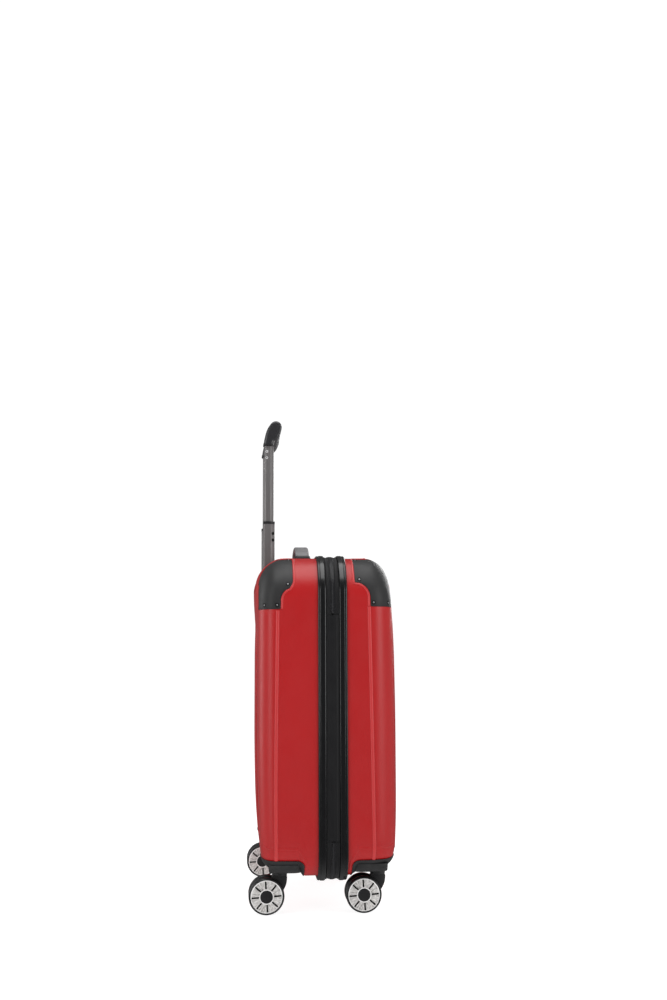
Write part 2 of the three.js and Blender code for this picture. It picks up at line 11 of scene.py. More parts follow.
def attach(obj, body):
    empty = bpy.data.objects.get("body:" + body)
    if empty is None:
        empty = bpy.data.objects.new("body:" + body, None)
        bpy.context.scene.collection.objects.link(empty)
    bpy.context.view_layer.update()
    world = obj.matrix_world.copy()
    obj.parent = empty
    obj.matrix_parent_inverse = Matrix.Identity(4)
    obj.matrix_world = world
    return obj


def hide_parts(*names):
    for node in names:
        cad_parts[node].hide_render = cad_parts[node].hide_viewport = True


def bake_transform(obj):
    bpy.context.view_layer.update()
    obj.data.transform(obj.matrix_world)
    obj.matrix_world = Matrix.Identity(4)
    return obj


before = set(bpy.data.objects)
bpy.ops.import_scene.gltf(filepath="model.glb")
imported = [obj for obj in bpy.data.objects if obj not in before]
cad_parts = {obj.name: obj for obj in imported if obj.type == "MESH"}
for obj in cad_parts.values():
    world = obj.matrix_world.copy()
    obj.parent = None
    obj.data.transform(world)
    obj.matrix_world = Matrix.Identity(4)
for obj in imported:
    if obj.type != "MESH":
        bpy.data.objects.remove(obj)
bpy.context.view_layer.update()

CENTRE = Vector((11.5, 13.75, 0))
HALF_WIDTH, TOP, BOTTOM = 198.5, 546, 52
TOP_R, FOOT_R, EDGE = 66, 48, 12.7
SIDE_TOP, SIDE_RUN = 480, 380  # the straight part of the side: its upper end and its length
# run, drop and top_round shape the rounds into the face, step is where the underside rises, guard is the
# corner guard's (near, lobe, foot, step), housing the caster housing's (inner, top, outer top).
BACK = dict(
    name="back", body="case", sign=1, depth=114.2, run=26, drop=38, ridge=(89, 85), screw=502, top_round=45,
    step=(42, 54), stem=79.8, wheel=100, guard=(61.5, 80.5, 463, 503), housing=(43.5, 82.5, 84.5),
    lean=lambda z: 5.5 * ((280 - z) / 200) ** 2 if z < 280 else 0,
)
FRONT = dict(
    name="front", body="front_half", sign=-1, depth=100, run=38, drop=42, ridge=(62.8, 57.5), screw=509.5,
    top_round=44, step=(28, 40), stem=-72.3, wheel=-49.4,
    guard=(35.5, 59.5, 467, 504), housing=(29.5, 82, 84.5),
    lean=lambda z: 1.5 * ((260 - z) / 200) ** 2 if z < 260 else 3.2 * ((z - 260) / 218) ** 2,
)
HALVES = (BACK, FRONT)
SIDES = ((-1, "hinge_side"), (1, "lock_side"))
POLE_X, POLE_Y = 60, 95.5
STEM_X, WHEEL_R = 148, 27.5
HANDLE_Y = 39.5


def place(p):
    return (Vector(p) - CENTRE) / 1000


# ---- materials
class Nodes:
    """A node tree being written, with short calls for the nodes used here."""

    def __init__(self, tree):
        self.tree = tree
        self.coords = tree.nodes.new("ShaderNodeTexCoord").outputs["Object"]

    def fill(self, sockets, inputs):
        for key, value in inputs.items():
            if isinstance(value, bpy.types.NodeSocket):
                self.tree.links.new(value, sockets[key])
            else:
                sockets[key].default_value = value

    def node(self, kind, inputs=None, **settings):
        made = self.tree.nodes.new(kind)
        for key, value in settings.items():
            setattr(made, key, value)
        self.fill(made.inputs, inputs or {})
        return made

    def math(self, operation, a, b=0.0, c=0.0):
        return self.node("ShaderNodeMath", {0: a, 1: b, 2: c}, operation=operation).outputs[0]

    def ramp(self, value, low, high, out_low=0.0, out_high=1.0):
        inputs = {"Value": value, "From Min": low, "From Max": high, "To Min": out_low, "To Max": out_high}
        return self.node("ShaderNodeMapRange", inputs).outputs["Result"]

    def noise(self, scale, detail=2.0, stretch=None, coords=None):
        vector = coords or self.coords
        if stretch:
            vector = self.node("ShaderNodeMapping", {"Vector": vector, "Scale": stretch}).outputs[0]
        inputs = {"Vector": vector, "Scale": scale, "Detail": detail}
        return self.node("ShaderNodeTexNoise", inputs).outputs["Fac"]

    def mix(self, factor, a, b):
        made = self.node("ShaderNodeMix", data_type="RGBA")
        self.fill({s.name: s for s in made.inputs if s.enabled}, {"Factor": factor, "A": a, "B": b})
        return next(s for s in made.outputs if s.enabled)

    def bump(self, height, distance, strength=1.0, below=None):
        inputs = {"Height": height, "Distance": distance, "Strength": strength}
        if below:
            inputs["Normal"] = below
        return self.node("ShaderNodeBump", inputs).outputs["Normal"]


class Surface(Nodes):
    """A material being written round its Principled shader."""

    def __init__(self, name):
        self.material = bpy.data.materials.new(name)
        self.material.use_nodes = True
        super().__init__(self.material.node_tree)
        self.shader = self.tree.nodes["Principled BSDF"]

    def finish(self, inputs):
        """Fills the shader's inputs and gives the material."""
        self.fill(self.shader.inputs, inputs)
        return self.material


def tint(colour, factor):
    return (*[min(1.0, c * factor) for c in colour], 1.0)


def finish_surface(n, colour, roughness, vary, worn, edge_wear):
    """Base colour with slow variation and paler worn edges, and roughness that changes over the surface."""
    shade = n.mix(n.noise(14, 3), tint(colour, 1 - vary), tint(colour, 1 + vary))
    if edge_wear:
        edges = n.node("ShaderNodeNewGeometry").outputs["Pointiness"]
        rubbed = n.math("MULTIPLY", n.ramp(edges, 0.53, 0.62), n.ramp(n.noise(90, 4), 0.42, 0.62))
        shade = n.mix(n.math("MULTIPLY", rubbed, edge_wear), shade, (*worn, 1.0))
    n.finish({"Base Color": shade, "Roughness": n.ramp(n.noise(38, 4), 0.3, 0.7, *roughness)})


def plastic(name, colour, roughness, grain, grain_scale, vary=0.06, specular=0.5, edge_wear=0.35):
    """Moulded plastic with a fine grain, faint scuffs and paler worn edges."""
    n = Surface(name)
    worn = tuple(min(1.0, c * 1.8 + 0.03) for c in colour)
    finish_surface(n, colour, roughness, vary, worn, edge_wear)
    fine = n.bump(n.noise(grain_scale, 3), grain)
    scuffs = n.ramp(n.noise(240, 2, stretch=(1, 6, 0.12)), 0.66, 0.74)
    return n.finish({"Normal": n.bump(scuffs, 0.00003, 0.6, fine), "Specular IOR Level": specular})


def shell_plastic(name, colour, roughness):
    """Embossed red polycarbonate: a fine crossed grain with pin-head cells."""
    n = Surface(name)
    finish_surface(n, colour, roughness, 0.045, (0.55, 0.06, 0.06), 0.25)
    cells = n.node("ShaderNodeTexVoronoi", {"Vector": n.coords, "Scale": 620.0}).outputs["Distance"]
    emboss = n.bump(cells, 0.00022, 0.55)
    ripple = n.bump(n.noise(26, 2), 0.0006, 0.22, emboss)
    scuffs = n.ramp(n.noise(150, 2, stretch=(1, 5, 0.1)), 0.68, 0.75)
    return n.finish({"Normal": n.bump(scuffs, 0.00003, 0.4, ripple), "Specular IOR Level": 0.42})


def woven(name, colour, axes, pitch, roughness=(0.75, 0.92), depth=0.00018, sheen=0.15):
    """Plain weave: two sets of threads along the given axes, one over the other in turn."""
    n = Surface(name)
    split = n.node("ShaderNodeSeparateXYZ", {0: n.coords})
    waves = []
    for axis in axes:
        turns = n.math("MULTIPLY", split.outputs[axis], 2 * math.pi / pitch)
        waves.append(n.math("SINE", turns))
    over = n.math("MULTIPLY", waves[0], waves[1])
    height = n.math("MULTIPLY_ADD", over, 0.5, 0.5)
    shade = n.mix(height, tint(colour, 0.6), tint(colour, 1.25))
    shade = n.mix(n.ramp(n.noise(30, 4), 0.3, 0.7, 0, 0.12), shade, tint(colour, 1.6))
    fuzz = n.bump(n.noise(2600, 2), 0.00008)
    return n.finish({
        "Base Color": shade, "Roughness": n.ramp(n.noise(60, 3), 0.3, 0.7, *roughness),
        "Normal": n.bump(height, depth, 1.0, fuzz), "Sheen Weight": sheen, "Specular IOR Level": 0.25,
    })


def metal(name, colour, roughness, stretch, metallic=1.0):
    """Drawn or brushed metal, its lines running along the axis that the stretch shortens."""
    n = Surface(name)
    lines = n.noise(700, 3, stretch=stretch)
    shade = n.mix(lines, tint(colour, 0.93), tint(colour, 1.07))
    smudge = n.ramp(n.noise(22, 4), 0.35, 0.7)
    shade = n.mix(n.math("MULTIPLY", smudge, 0.12), shade, tint(colour, 0.75))
    spread = n.math("MULTIPLY_ADD", smudge, 0.08, roughness)
    return n.finish({
        "Base Color": shade, "Roughness": spread, "Normal": n.bump(lines, 0.00002), "Metallic": metallic,
    })


def radial_metal():
    """Trim disc with brush lines running outward from the hub; its axis is the piece's own x."""
    n = Surface("trim_disc_brushed")
    split = n.node("ShaderNodeSeparateXYZ", {0: n.coords})
    angle = n.math("ARCTAN2", split.outputs[2], split.outputs[1])
    squares = [n.math("POWER", split.outputs[k], 2.0) for k in (1, 2)]
    reach = n.math("SQRT", n.math("ADD", *squares))
    polar = n.node("ShaderNodeCombineXYZ", {0: angle, 1: n.math("MULTIPLY", reach, 18.0)}).outputs[0]
    lines = n.ramp(n.noise(11, 3, coords=polar), 0.32, 0.68)
    broad = n.noise(2.2, 1, coords=polar)
    shade = n.mix(lines, (0.20, 0.19, 0.182, 1), (0.84, 0.82, 0.80, 1))
    shade = n.mix(n.ramp(broad, 0.35, 0.65, 0, 0.5), shade, (0.86, 0.84, 0.82, 1))
    border = n.math("MAXIMUM", n.ramp(reach, 0.0226, 0.0234), n.ramp(reach, 0.0112, 0.0106))
    shade = n.mix(border, shade, (0.95, 0.94, 0.93, 1))
    rough = n.ramp(lines, 0, 1, 0.34, 0.5)
    fine = n.bump(lines, 0.00003)
    return n.finish({"Base Color": shade, "Roughness": rough, "Normal": fine, "Metallic": 0.3})


RED = shell_plastic("shell_red", (0.385, 0.0052, 0.0066), (0.34, 0.42))
# The ridge beads' red is a lighter copy of the shell red: a painted highlight for the light the raised panel
# edges catch, on top of their real relief.
RIDGE_HIGHLIGHT = shell_plastic("ridge_red_painted_highlight", (0.48, 0.030, 0.032), (0.28, 0.36))
GUARD = plastic("guard_charcoal", (0.0225, 0.0225, 0.0230), (0.44, 0.54), 0.00005, 1800, specular=0.3)
RIM = plastic("rim_gloss_black", (0.0045, 0.0047, 0.0052), (0.16, 0.25), 0.00002, 500, edge_wear=0.2)
DARK = plastic("dark_plastic", (0.012, 0.012, 0.013), (0.36, 0.5), 0.00005, 1400)
# Near-black with little shine: painted shade standing for the dark inside holes and sockets, used for the
# screw sockets, latch holes, pin centres and behind the trim discs' slots.
HOLE_SHADE = plastic("painted_hole_shade", (0.002, 0.002, 0.002), (0.4, 0.6), 0.00003, 1400, specular=0.25, edge_wear=0)
FORK = plastic("fork_charcoal", (0.016, 0.016, 0.017), (0.42, 0.55), 0.00006, 1700)
TYRE = plastic("tyre_polyurethane", (0.009, 0.009, 0.010), (0.32, 0.46), 0.00005, 900, vary=0.15)
STRAP = woven("handle_grip_grey", (0.19, 0.187, 0.192), (0, 1), 0.0030, (0.34, 0.46), 0.00010, 0.05)
GRIP = plastic("grip_soft_black", (0.018, 0.018, 0.020), (0.26, 0.36), 0.00005, 2200, specular=0.7)
TUBE = metal("tube_anodised", (0.175, 0.166, 0.166), 0.36, (1, 1, 0.03), metallic=0.5)
STEEL = metal("plated_steel", (0.42, 0.42, 0.43), 0.26, (1, 0.05, 1))
# Pale nickel rings, given a pale diffuse base and little metal so they stay bright whatever they face: partly
# their own colour, partly a painted reflection.
PIN_RING_SHEEN = metal("pin_ring_nickel_painted_sheen", (0.78, 0.78, 0.79), 0.36, (1, 0.05, 1), metallic=0.2)
DISC = radial_metal()
HINGE_CLOTH = woven("hinge_cloth", (0.0075, 0.0075, 0.0085), (1, 2), 0.0011, (0.42, 0.6), 0.00005, 0.05)
TAPE = woven("zip_tape", (0.008, 0.008, 0.009), (1, 2), 0.0013, (0.6, 0.8), 0.00012, 0.08)
TEETH = plastic("zip_coil", (0.016, 0.016, 0.018), (0.3, 0.42), 0.00003, 900, edge_wear=0)
LINING = woven("lining_grey", (0.085, 0.088, 0.098), (0, 2), 0.0009, sheen=0.25)
WEBBING = woven("webbing_black", (0.016, 0.016, 0.018), (0, 2), 0.0018, depth=0.0003)

# ---- making pieces
def shade(mesh, angle):
    for face in mesh.polygons:
        face.use_smooth = True
    mesh.set_sharp_from_angle(angle=math.radians(angle))


def settle(obj):
    """Applies the modifiers, so that the mesh is final."""
    graph = bpy.context.evaluated_depsgraph_get()
    made = bpy.data.meshes.new_from_object(obj.evaluated_get(graph))
    obj.modifiers.clear()
    obj.data = made
    return obj


def raw(name, points, faces, origin=None):
    """A mesh object from points in case millimetres; origin is where its own centre lies."""
    centre = place(origin) if origin else Vector((0, 0, 0))
    mesh = bpy.data.meshes.new(name)
    mesh.from_pydata([place(p) - centre for p in points], [], faces)
    bm = bmesh.new()
    bm.from_mesh(mesh)
    bmesh.ops.remove_doubles(bm, verts=bm.verts, dist=1e-6)
    bmesh.ops.recalc_face_normals(bm, faces=bm.faces)
    bm.to_mesh(mesh)
    bm.free()
    obj = bpy.data.objects.new(name, mesh)
    obj.location = centre
    bpy.context.scene.collection.objects.link(obj)
    return obj


def merged(name, parts):
    """One object from several at the world's origin."""
    mesh = bpy.data.meshes.new(name)
    bm = bmesh.new()
    for part in parts:
        part.data.transform(part.matrix_world)
        bm.from_mesh(part.data)
        bpy.data.objects.remove(part)
    bm.to_mesh(mesh)
    bm.free()
    obj = bpy.data.objects.new(name, mesh)
    bpy.context.scene.collection.objects.link(obj)
    return obj


def finished(obj, body, material, slot, replaces=(), angle=35, bevel=0.0, segments=2):
    """Gives a piece its bevel, shading, material and body."""
    if bevel:
        mod = obj.modifiers.new("bevel", "BEVEL")
        mod.width = bevel / 1000
        mod.segments = segments
        mod.limit_method = "ANGLE"
        mod.angle_limit = math.radians(32)
        settle(obj)
    obj.data.materials.clear()
    obj.data.materials.append(material)
    shade(obj.data, angle)
    bpy.context.view_layer.update()
    if replaces:
        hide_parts(*replaces)
    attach(obj, body)
    return obj


def boolean(obj, other, operation="DIFFERENCE"):
    """Cuts the other piece from the first, or keeps what they share, and uses the other up."""
    mod = obj.modifiers.new("cut", "BOOLEAN")
    mod.operation = operation
    mod.object = other
    mod.solver = "MANIFOLD"
    bpy.context.view_layer.update()
    settle(obj)
    bpy.data.objects.remove(other)
    return obj


def grid_faces(rows, columns, closed=True):
    faces = []
    for i in range(rows - 1):
        for k in range(columns if closed else columns - 1):
            a, b = i * columns + k, i * columns + (k + 1) % columns
            faces.append((a, b, b + columns, a + columns))
    return faces


def lofted(name, rings, caps=True, origin=None):
    count = len(rings[0])
    points = [p for ring in rings for p in ring]
    faces = grid_faces(len(rings), count)
    if caps:
        faces.append(tuple(range(count))[::-1])
        faces.append(tuple(range(len(points) - count, len(points))))
    return raw(name, points, faces, origin)


def block(name, low, high):
    (x0, y0, z0), (x1, y1, z1) = low, high
    ring = lambda z: [(x0, y0, z), (x1, y0, z), (x1, y1, z), (x0, y1, z)]
    return lofted(name, [ring(z0), ring(z1)])


def prism(name, outline, axis, start, end):
    """The outline's two coordinates fill the other two axes in order; it is drawn along the axis."""
    def at(a, b, c):
        return {"x": (c, a, b), "y": (a, c, b), "z": (a, b, c)}[axis]
    return lofted(name, [[at(a, b, c) for a, b in outline] for c in (start, end)])


def turned(name, axis, centre, profile, steps=32, caps=True, local=False):
    """A turned piece: the profile is (radius, distance along the axis from the centre). A local piece
    keeps its own origin at the centre."""
    rings = []
    for radius, along in profile:
        ring = []
        for i in range(steps):
            t = 2 * math.pi * i / steps
            a, b = radius * math.cos(t), radius * math.sin(t)
            offset = {"x": (along, a, b), "y": (a, along, b), "z": (a, b, along)}[axis]
            ring.append(Vector(centre) + Vector(offset))
        rings.append(ring)
    return lofted(name, rings, caps, centre if local else None)


def between(a, b, i, steps):
    return tuple(p + (q - p) * i / steps for p, q in zip(a, b))


def arc(cx, cy, r, start, end, steps):
    angles = [math.radians(start + (end - start) * i / steps) for i in range(steps + 1)]
    return [(cx + r * math.cos(t), cy + r * math.sin(t)) for t in angles]


def rounded(x0, x1, y0, y1, r, steps=5):
    return (arc(x1 - r, y0 + r, r, -90, 0, steps) + arc(x1 - r, y1 - r, r, 0, 90, steps)
            + arc(x0 + r, y1 - r, r, 90, 180, steps) + arc(x0 + r, y0 + r, r, 180, 270, steps))


def swept(name, path, ups, section, closed=False):
    """A section (across, up) carried along a path, each point with its own up direction."""
    rings = []
    count = len(path)
    for i, (point, up) in enumerate(zip(path, ups)):
        before = path[i - 1] if closed or i else path[0]
        after = path[(i + 1) % count] if closed or i + 1 < count else path[-1]
        along = (Vector(after) - Vector(before)).normalized()
        up = Vector(up).normalized()
        across = along.cross(up).normalized()
        rings.append([Vector(point) + across * a + up * b for a, b in section])
    if closed:
        rings.append(rings[0])
    return lofted(name, rings, caps=not closed)


# ---- the shells' form
def round_off(u, depth, run, drop):
    t = min(1, max(0, u - (depth - run)) / run)
    return drop * (1 - math.sqrt(max(0, 1 - t * t)))


def smooth(start, end, u):
    """Eases from 0 at start to 1 at end; start may be the larger."""
    t = min(1, max(0, (u - start) / (end - start)))
    return t * t * (3 - 2 * t)


def section(half, u, offset):
    depth = half["depth"] + offset
    side = round_off(u, depth, half["run"] + offset, half["drop"] + offset)
    top = round_off(u, depth, half["top_round"] + offset, half["top_round"] + offset)
    foot = round_off(u, depth, 22 + offset, 22 + offset)
    rise = 3.5 * smooth(14, 23, u) + 12.5 * smooth(*half["step"], u)
    return dict(
        half=HALF_WIDTH + offset - side, top=TOP + offset - top, bottom=BOTTOM - offset + foot + rise,
        r=TOP_R + offset - 0.3 * (side + top), foot=FOOT_R + offset - 0.3 * (side + foot),
    )


def outline(half, top, bottom, r, foot, corner=12, edge=16):
    """The outline in (x, z), from the middle of the underside round to where it began."""
    def stretch(a, b, steps):
        return [between(a, b, i, steps) for i in range(1, steps)]
    right = [(0, bottom)] + stretch((0, bottom), (half - foot, bottom), 8)
    right += arc(half - foot, bottom + foot, foot, -90, 0, corner)
    right += stretch((half, bottom + foot), (half, top - r), edge)
    right += arc(half - r, top - r, r, 0, 90, corner)
    right += stretch((half - r, top), (0, top), 8)
    return right + [(0, top)] + [(-x, z) for x, z in right[:0:-1]]


def leant(half, x, z, u):
    weight = max(0, (u - 24) / (half["depth"] - 24)) ** 2
    return (x, half["sign"] * (u - half["lean"](z) * weight), z)


def stations(half, offset, start):
    depth = half["depth"] + offset
    near = [start, 14.5, 17, 20, 23, 26] + [26 + i * 3 for i in range(1, 60)]
    flat_end = depth - half["top_round"]
    near = [u for u in near if u < flat_end]
    turn = [flat_end + half["top_round"] * math.sin(math.radians(a)) for a in range(0, 90, 5)]
    return near + turn + [depth]


def shell_body(name, half, offset, start, crown=0.0):
    """The closed solid inside the shell's surface, or inside a parallel one. The crown lifts the middle of
    the round between the top and the face."""
    def lift(x, z, u):
        reach = smooth(half["depth"] - 52, half["depth"] - 30, u)
        return crown * reach * smooth(126, 108, abs(x)) * smooth(420, 500, z)

    def raised(x, z, u):
        k, turn = lift(x, z, u), smooth(half["depth"] - 40, half["depth"], u)
        return leant(half, x, z + k * (1 - turn), u + k * turn)

    rings = []
    for u in stations(half, offset, start):
        rings.append([raised(x, z, u) for x, z in outline(**section(half, u, offset))])
    depth = half["depth"] + offset
    last = outline(**section(half, depth, offset))
    middle = (TOP + BOTTOM) / 2
    for scale in (0.98, 0.95, 0.91, 0.86, 0.8, 0.7, 0.52, 0.3, 0.1):
        ring = [(x * scale, middle + (z - middle) * scale) for x, z in last]
        rings.append([raised(x, z, depth) for x, z in ring])
    return lofted(name, rings)


def surface(half, side, along, u, lift=0.0):
    """A point on the shell and its outward normal. along runs up the side from SIDE_TOP, then round the
    upper corner and inward over the top; below the foot corner it runs round and inward underneath."""
    def at(a, v):
        s = section(half, v, lift)
        straight_top = s["top"] - s["r"]
        straight_foot = s["bottom"] + s["foot"]
        if a > 0:
            turn, centre = a / TOP_R, s["half"] - s["r"]
            if turn < math.pi / 2:
                x, z = centre + s["r"] * math.cos(turn), straight_top + s["r"] * math.sin(turn)
            else:
                x, z = centre - (a - TOP_R * math.pi / 2), s["top"]
        elif a < -SIDE_RUN:
            turn, centre = (-SIDE_RUN - a) / FOOT_R, s["half"] - s["foot"]
            if turn < math.pi / 2:
                x, z = centre + s["foot"] * math.cos(turn), straight_foot - s["foot"] * math.sin(turn)
            else:
                x, z = centre - (-SIDE_RUN - a - FOOT_R * math.pi / 2), s["bottom"]
        else:
            x, z = s["half"], straight_foot + (straight_top - straight_foot) * (a + SIDE_RUN) / SIDE_RUN
        return Vector(leant(half, side * x, z, v))
    point = at(along, u)
    tangent_a = at(along + 0.2, u) - at(along - 0.2, u)
    tangent_u = at(along, u + 0.2) - at(along, u - 0.2)
    normal = tangent_a.cross(tangent_u).normalized()
    if normal.dot(Vector((side, 0, 0))) + 0.4 * normal.z + 0.4 * normal.y * half["sign"] < 0:
        normal = -normal
    return point, normal


def to_along(z):
    """The side's running distance for a height, as seen from the side."""
    side_foot = SIDE_TOP - SIDE_RUN
    if z > SIDE_TOP:
        return TOP_R * math.asin(min(1, (z - SIDE_TOP) / TOP_R))
    if z < side_foot:
        return -SIDE_RUN - FOOT_R * math.asin(min(1, (side_foot - z) / FOOT_R))
    return z - SIDE_TOP


def spot(half, side, u, z, lift):
    """The surface's point and normal at a wanted height on the side."""
    along = to_along(z)
    for _ in range(8):
        along += z - surface(half, side, along, u, lift)[0].z
    return surface(half, side, along, u, lift)


def resampled(points, pitch):
    """The same line with points at even distances."""
    out = [points[0]]
    for a, b in zip(points, points[1:]):
        length = math.dist(a, b)
        steps = max(1, round(length / pitch))
        out += [between(a, b, i, steps) for i in range(1, steps + 1)]
    return out


def bead(name, half, side, line, width, height, pitch=3.0):
    """A raised rounded bead on the shell along a line of (along, u) points."""
    sink = 0.5
    path, ups = zip(*[surface(half, side, a, u) for a, u in resampled(line, pitch)])
    w = width / 2
    turns = [math.radians(t) for t in range(-80, 81, 20)]
    dome = [(w * math.sin(t), -sink * 0.2 + height * math.cos(t)) for t in turns]
    return swept(name, path, ups, [(-w, -sink)] + dome + [(w, -sink)])


def mirrored(obj, name):
    """The same piece on the other side of the case's middle plane."""
    other = obj.copy()
    other.data = obj.data.copy()
    other.name = other.data.name = name
    middle = -CENTRE.x / 1000
    for vertex in other.data.vertices:
        vertex.co.x = 2 * middle - vertex.co.x
    other.data.flip_normals()
    bpy.context.scene.collection.objects.link(other)
    return other


def refined(node):
    """A working copy of a plain CAD solid with its flat faces merged, ready for a bevel."""
    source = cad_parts[node]
    mesh = source.data.copy()
    mesh.transform(source.matrix_world)
    bm = bmesh.new()
    bm.from_mesh(mesh)
    bmesh.ops.remove_doubles(bm, verts=bm.verts, dist=1e-6)
    bmesh.ops.dissolve_limit(bm, angle_limit=math.radians(1), verts=bm.verts, edges=bm.edges)
    bm.to_mesh(mesh)
    bm.free()
    obj = bpy.data.objects.new(node + "_look", mesh)
    bpy.context.scene.collection.objects.link(obj)
    return obj


def stud(name, point, normal, profile, steps=20):
    """A small turned piece standing on a surface; the profile is (radius, height)."""
    normal = Vector(normal).normalized()
    a = normal.orthogonal().normalized()
    b = normal.cross(a)
    rings = [[Vector(point) + normal * h + (a * math.cos(t) + b * math.sin(t)) * r
              for t in (2 * math.pi * i / steps for i in range(steps))] for r, h in profile]
    return lofted(name, rings)


SCREW = [(3.3, -0.6), (3.3, 0.12), (2.9, 0.3), (2.3, 0.2), (1.9, -0.35), (0.1, -0.45)]
SCREW_CORE = [(1.25, -0.5), (1.25, 0.0), (0.9, 0.3), (0.1, 0.42)]

# ---- the corner guards' form
def softened(points, r, steps=4):
    """The outline with its sharp corners rounded."""
    out = []
    count = len(points)
    for i, p in enumerate(points):
        before, after = Vector(points[i - 1]), Vector(points[(i + 1) % count])
        p = Vector(p)
        back, on = before - p, after - p
        if back.angle(on) > math.radians(150) or min(back.length, on.length) < r:
            out.append(tuple(p))
            continue
        a, b = p + back.normalized() * r, p + on.normalized() * r
        for k in range(steps + 1):
            t = k / steps
            out.append(tuple(a * (1 - t) ** 2 + p * 2 * t * (1 - t) + b * t ** 2))
    return out


def skin(half, outer, inner):
    return boolean(shell_body("skin", half, outer, EDGE), shell_body("skin_core", half, inner, EDGE - 1))


def guard_form(half, side, outer, inner, grow=0.0):
    """The corner guard between two parallels of the shell's surface, its outline widened by grow."""
    near, lobe, foot, step = half["guard"]
    near, lobe, foot, step = near - grow, lobe - grow, foot - grow, step - grow
    bite = arc(near, foot + 14, lobe - near, 80, 0, 10)
    view = softened([(near, step)] + bite + [(lobe, foot), (134, foot), (134, 565), (near, 565)], 3)
    form = skin(half, outer, inner)
    outline_yz = [(half["sign"] * u, z) for u, z in view]
    x0, x1 = sorted((side * (128.5 - grow), side * 215))
    boolean(form, prism("corner", outline_yz, "x", x0, x1), "INTERSECT")
    x0, x1 = sorted((side * 120, side * (148.5 - grow)))
    boolean(form, block("face_notch", (x0, -140, 400), (x1, 140, step)))
    low, high = sorted((0, half["sign"] * lobe))
    return boolean(form, block("top_notch", (x0, low, 400), (x1, high, 600)))


# ---- shells
def cutters(half):
    made = []
    if half is BACK:
        made.append(block("cut_well", (-78.4, 70.6, 497), (78.4, 140, 580)))
        made.append(block("cut_top_base", (-80.4, 24.1, 538), (80.4, 54.9, 554)))
        made.append(block("cut_side_base", (190.5, 24.1, 219.6), (206.5, 54.9, 380.4)))
    else:
        made.append(block("cut_lock", (186, -56.4, 261.6), (211, -26.6, 338.4)))
    for side, _ in SIDES:
        made.append(turned("cut_stem", "z", (side * STEM_X, half["stem"], 60), [(16.5, -30), (16.5, 30)]))
    return made


def ridge_line(half):
    """The side panel's upright edge, from under the caster housing up to the corner guard's foot."""
    foot = half["guard"][2]
    low, high = half["ridge"]
    heights = (67, 90, 140, 200, 260, 320, 380, 440, foot - 1)
    return [(to_along(z), low + (high - low) * (z - 67) / (foot - 68)) for z in heights]


def guard_line(half):
    """The thin raised line that follows the corner guard's edge round its bite and over the top."""
    near, lobe, foot, step = half["guard"]
    bite = arc(near, foot + 14, lobe - near - 2.2, 0, 76, 10)
    high = [(lobe - 1.9, foot + 0.5), (lobe - 2.2, foot + 6)] + bite
    high += [(near - 0.6, step - 1.4), (near - 2.2, step + 4), (near - 2.2, step + 10)]
    line = [(to_along(z), u) for u, z in high]
    line += [(a, near - 2.2) for a in (60, 75, 86)] + [(90, near - 0.5), (91, lobe - 5), (94, lobe - 2.4)]
    return line + [(108, lobe - 2.4), (111, lobe + 1), (111, half["depth"] - 22), (111, half["depth"] - 8)]


def housing_bead(half):
    inner, top, outer_top = half["housing"]
    line = [(inner - 3, 62), (inner - 3, top - 8)] + arc(inner + 8, top - 8, 11, 180, 95, 6)
    line += [(half["depth"] - 20, outer_top + 3), (half["depth"] - 5, outer_top + 3)]
    return [(to_along(z), u) for u, z in line]


def rib_line(half, x, low, high):
    """A flute's path up the front or back face, sunk into the face at both ends."""
    path, ups = [], []
    for i in range(25):
        z = low + (high - low) * i / 24
        ease = min(1, 5 * min(i, 24 - i) / 24)
        u = half["depth"] + 1.2 - 1.8 * (1 - ease) ** 2
        path.append(leant(half, x, z, u))
        ups.append((0, half["sign"], 0))
    return path, ups


RIB = [(-9, -2.5)] + [(9 * math.sin(math.radians(t)), 1.5 * math.cos(math.radians(t)) - 0.4)
                      for t in range(-80, 81, 16)] + [(9, -2.5)]

for half in HALVES:
    key, body = half["name"], half["body"]
    shell = shell_body(f"{key}_shell_form", half, 0, EDGE, crown=3.8)
    boolean(shell, shell_body("hollow", half, -2, EDGE - 5, crown=3.8))
    for cutter in cutters(half):
        boolean(shell, cutter)
    trims, ridges = [], []
    for side, _ in SIDES:
        ridges.append(bead("panel_edge", half, side, ridge_line(half), 5.4, 1.2))
        ridges.append(bead("guard_edge", half, side, guard_line(half), 3.4, 0.9, pitch=2.0))
        trims.append(bead("foot_bead", half, side, housing_bead(half), 4.0, 0.5))
    # The edge beads take the paler ridge red, a painted highlight along the raised edges.
    finished(merged(f"{key}_panel_ridges", ridges), body, RIDGE_HIGHLIGHT, "red_shell", angle=50)
    spread = (-150, -90, -30, 30, 90, 150) if half is FRONT else (-60, -20, 20, 60)
    for x in spread:
        trims.append(swept("rib", *rib_line(half, x, 96, 470 if half is FRONT else 455), RIB))
    near, lobe, foot, step = half["guard"]
    for side, _ in SIDES:
        boolean(shell, guard_form(half, side, 6, -1.5, 0.7))
    whole = merged(f"{key}_shell_red", [shell] + trims)
    finished(whole, body, RED, "red_shell", [f"{key}_shell"], angle=32)

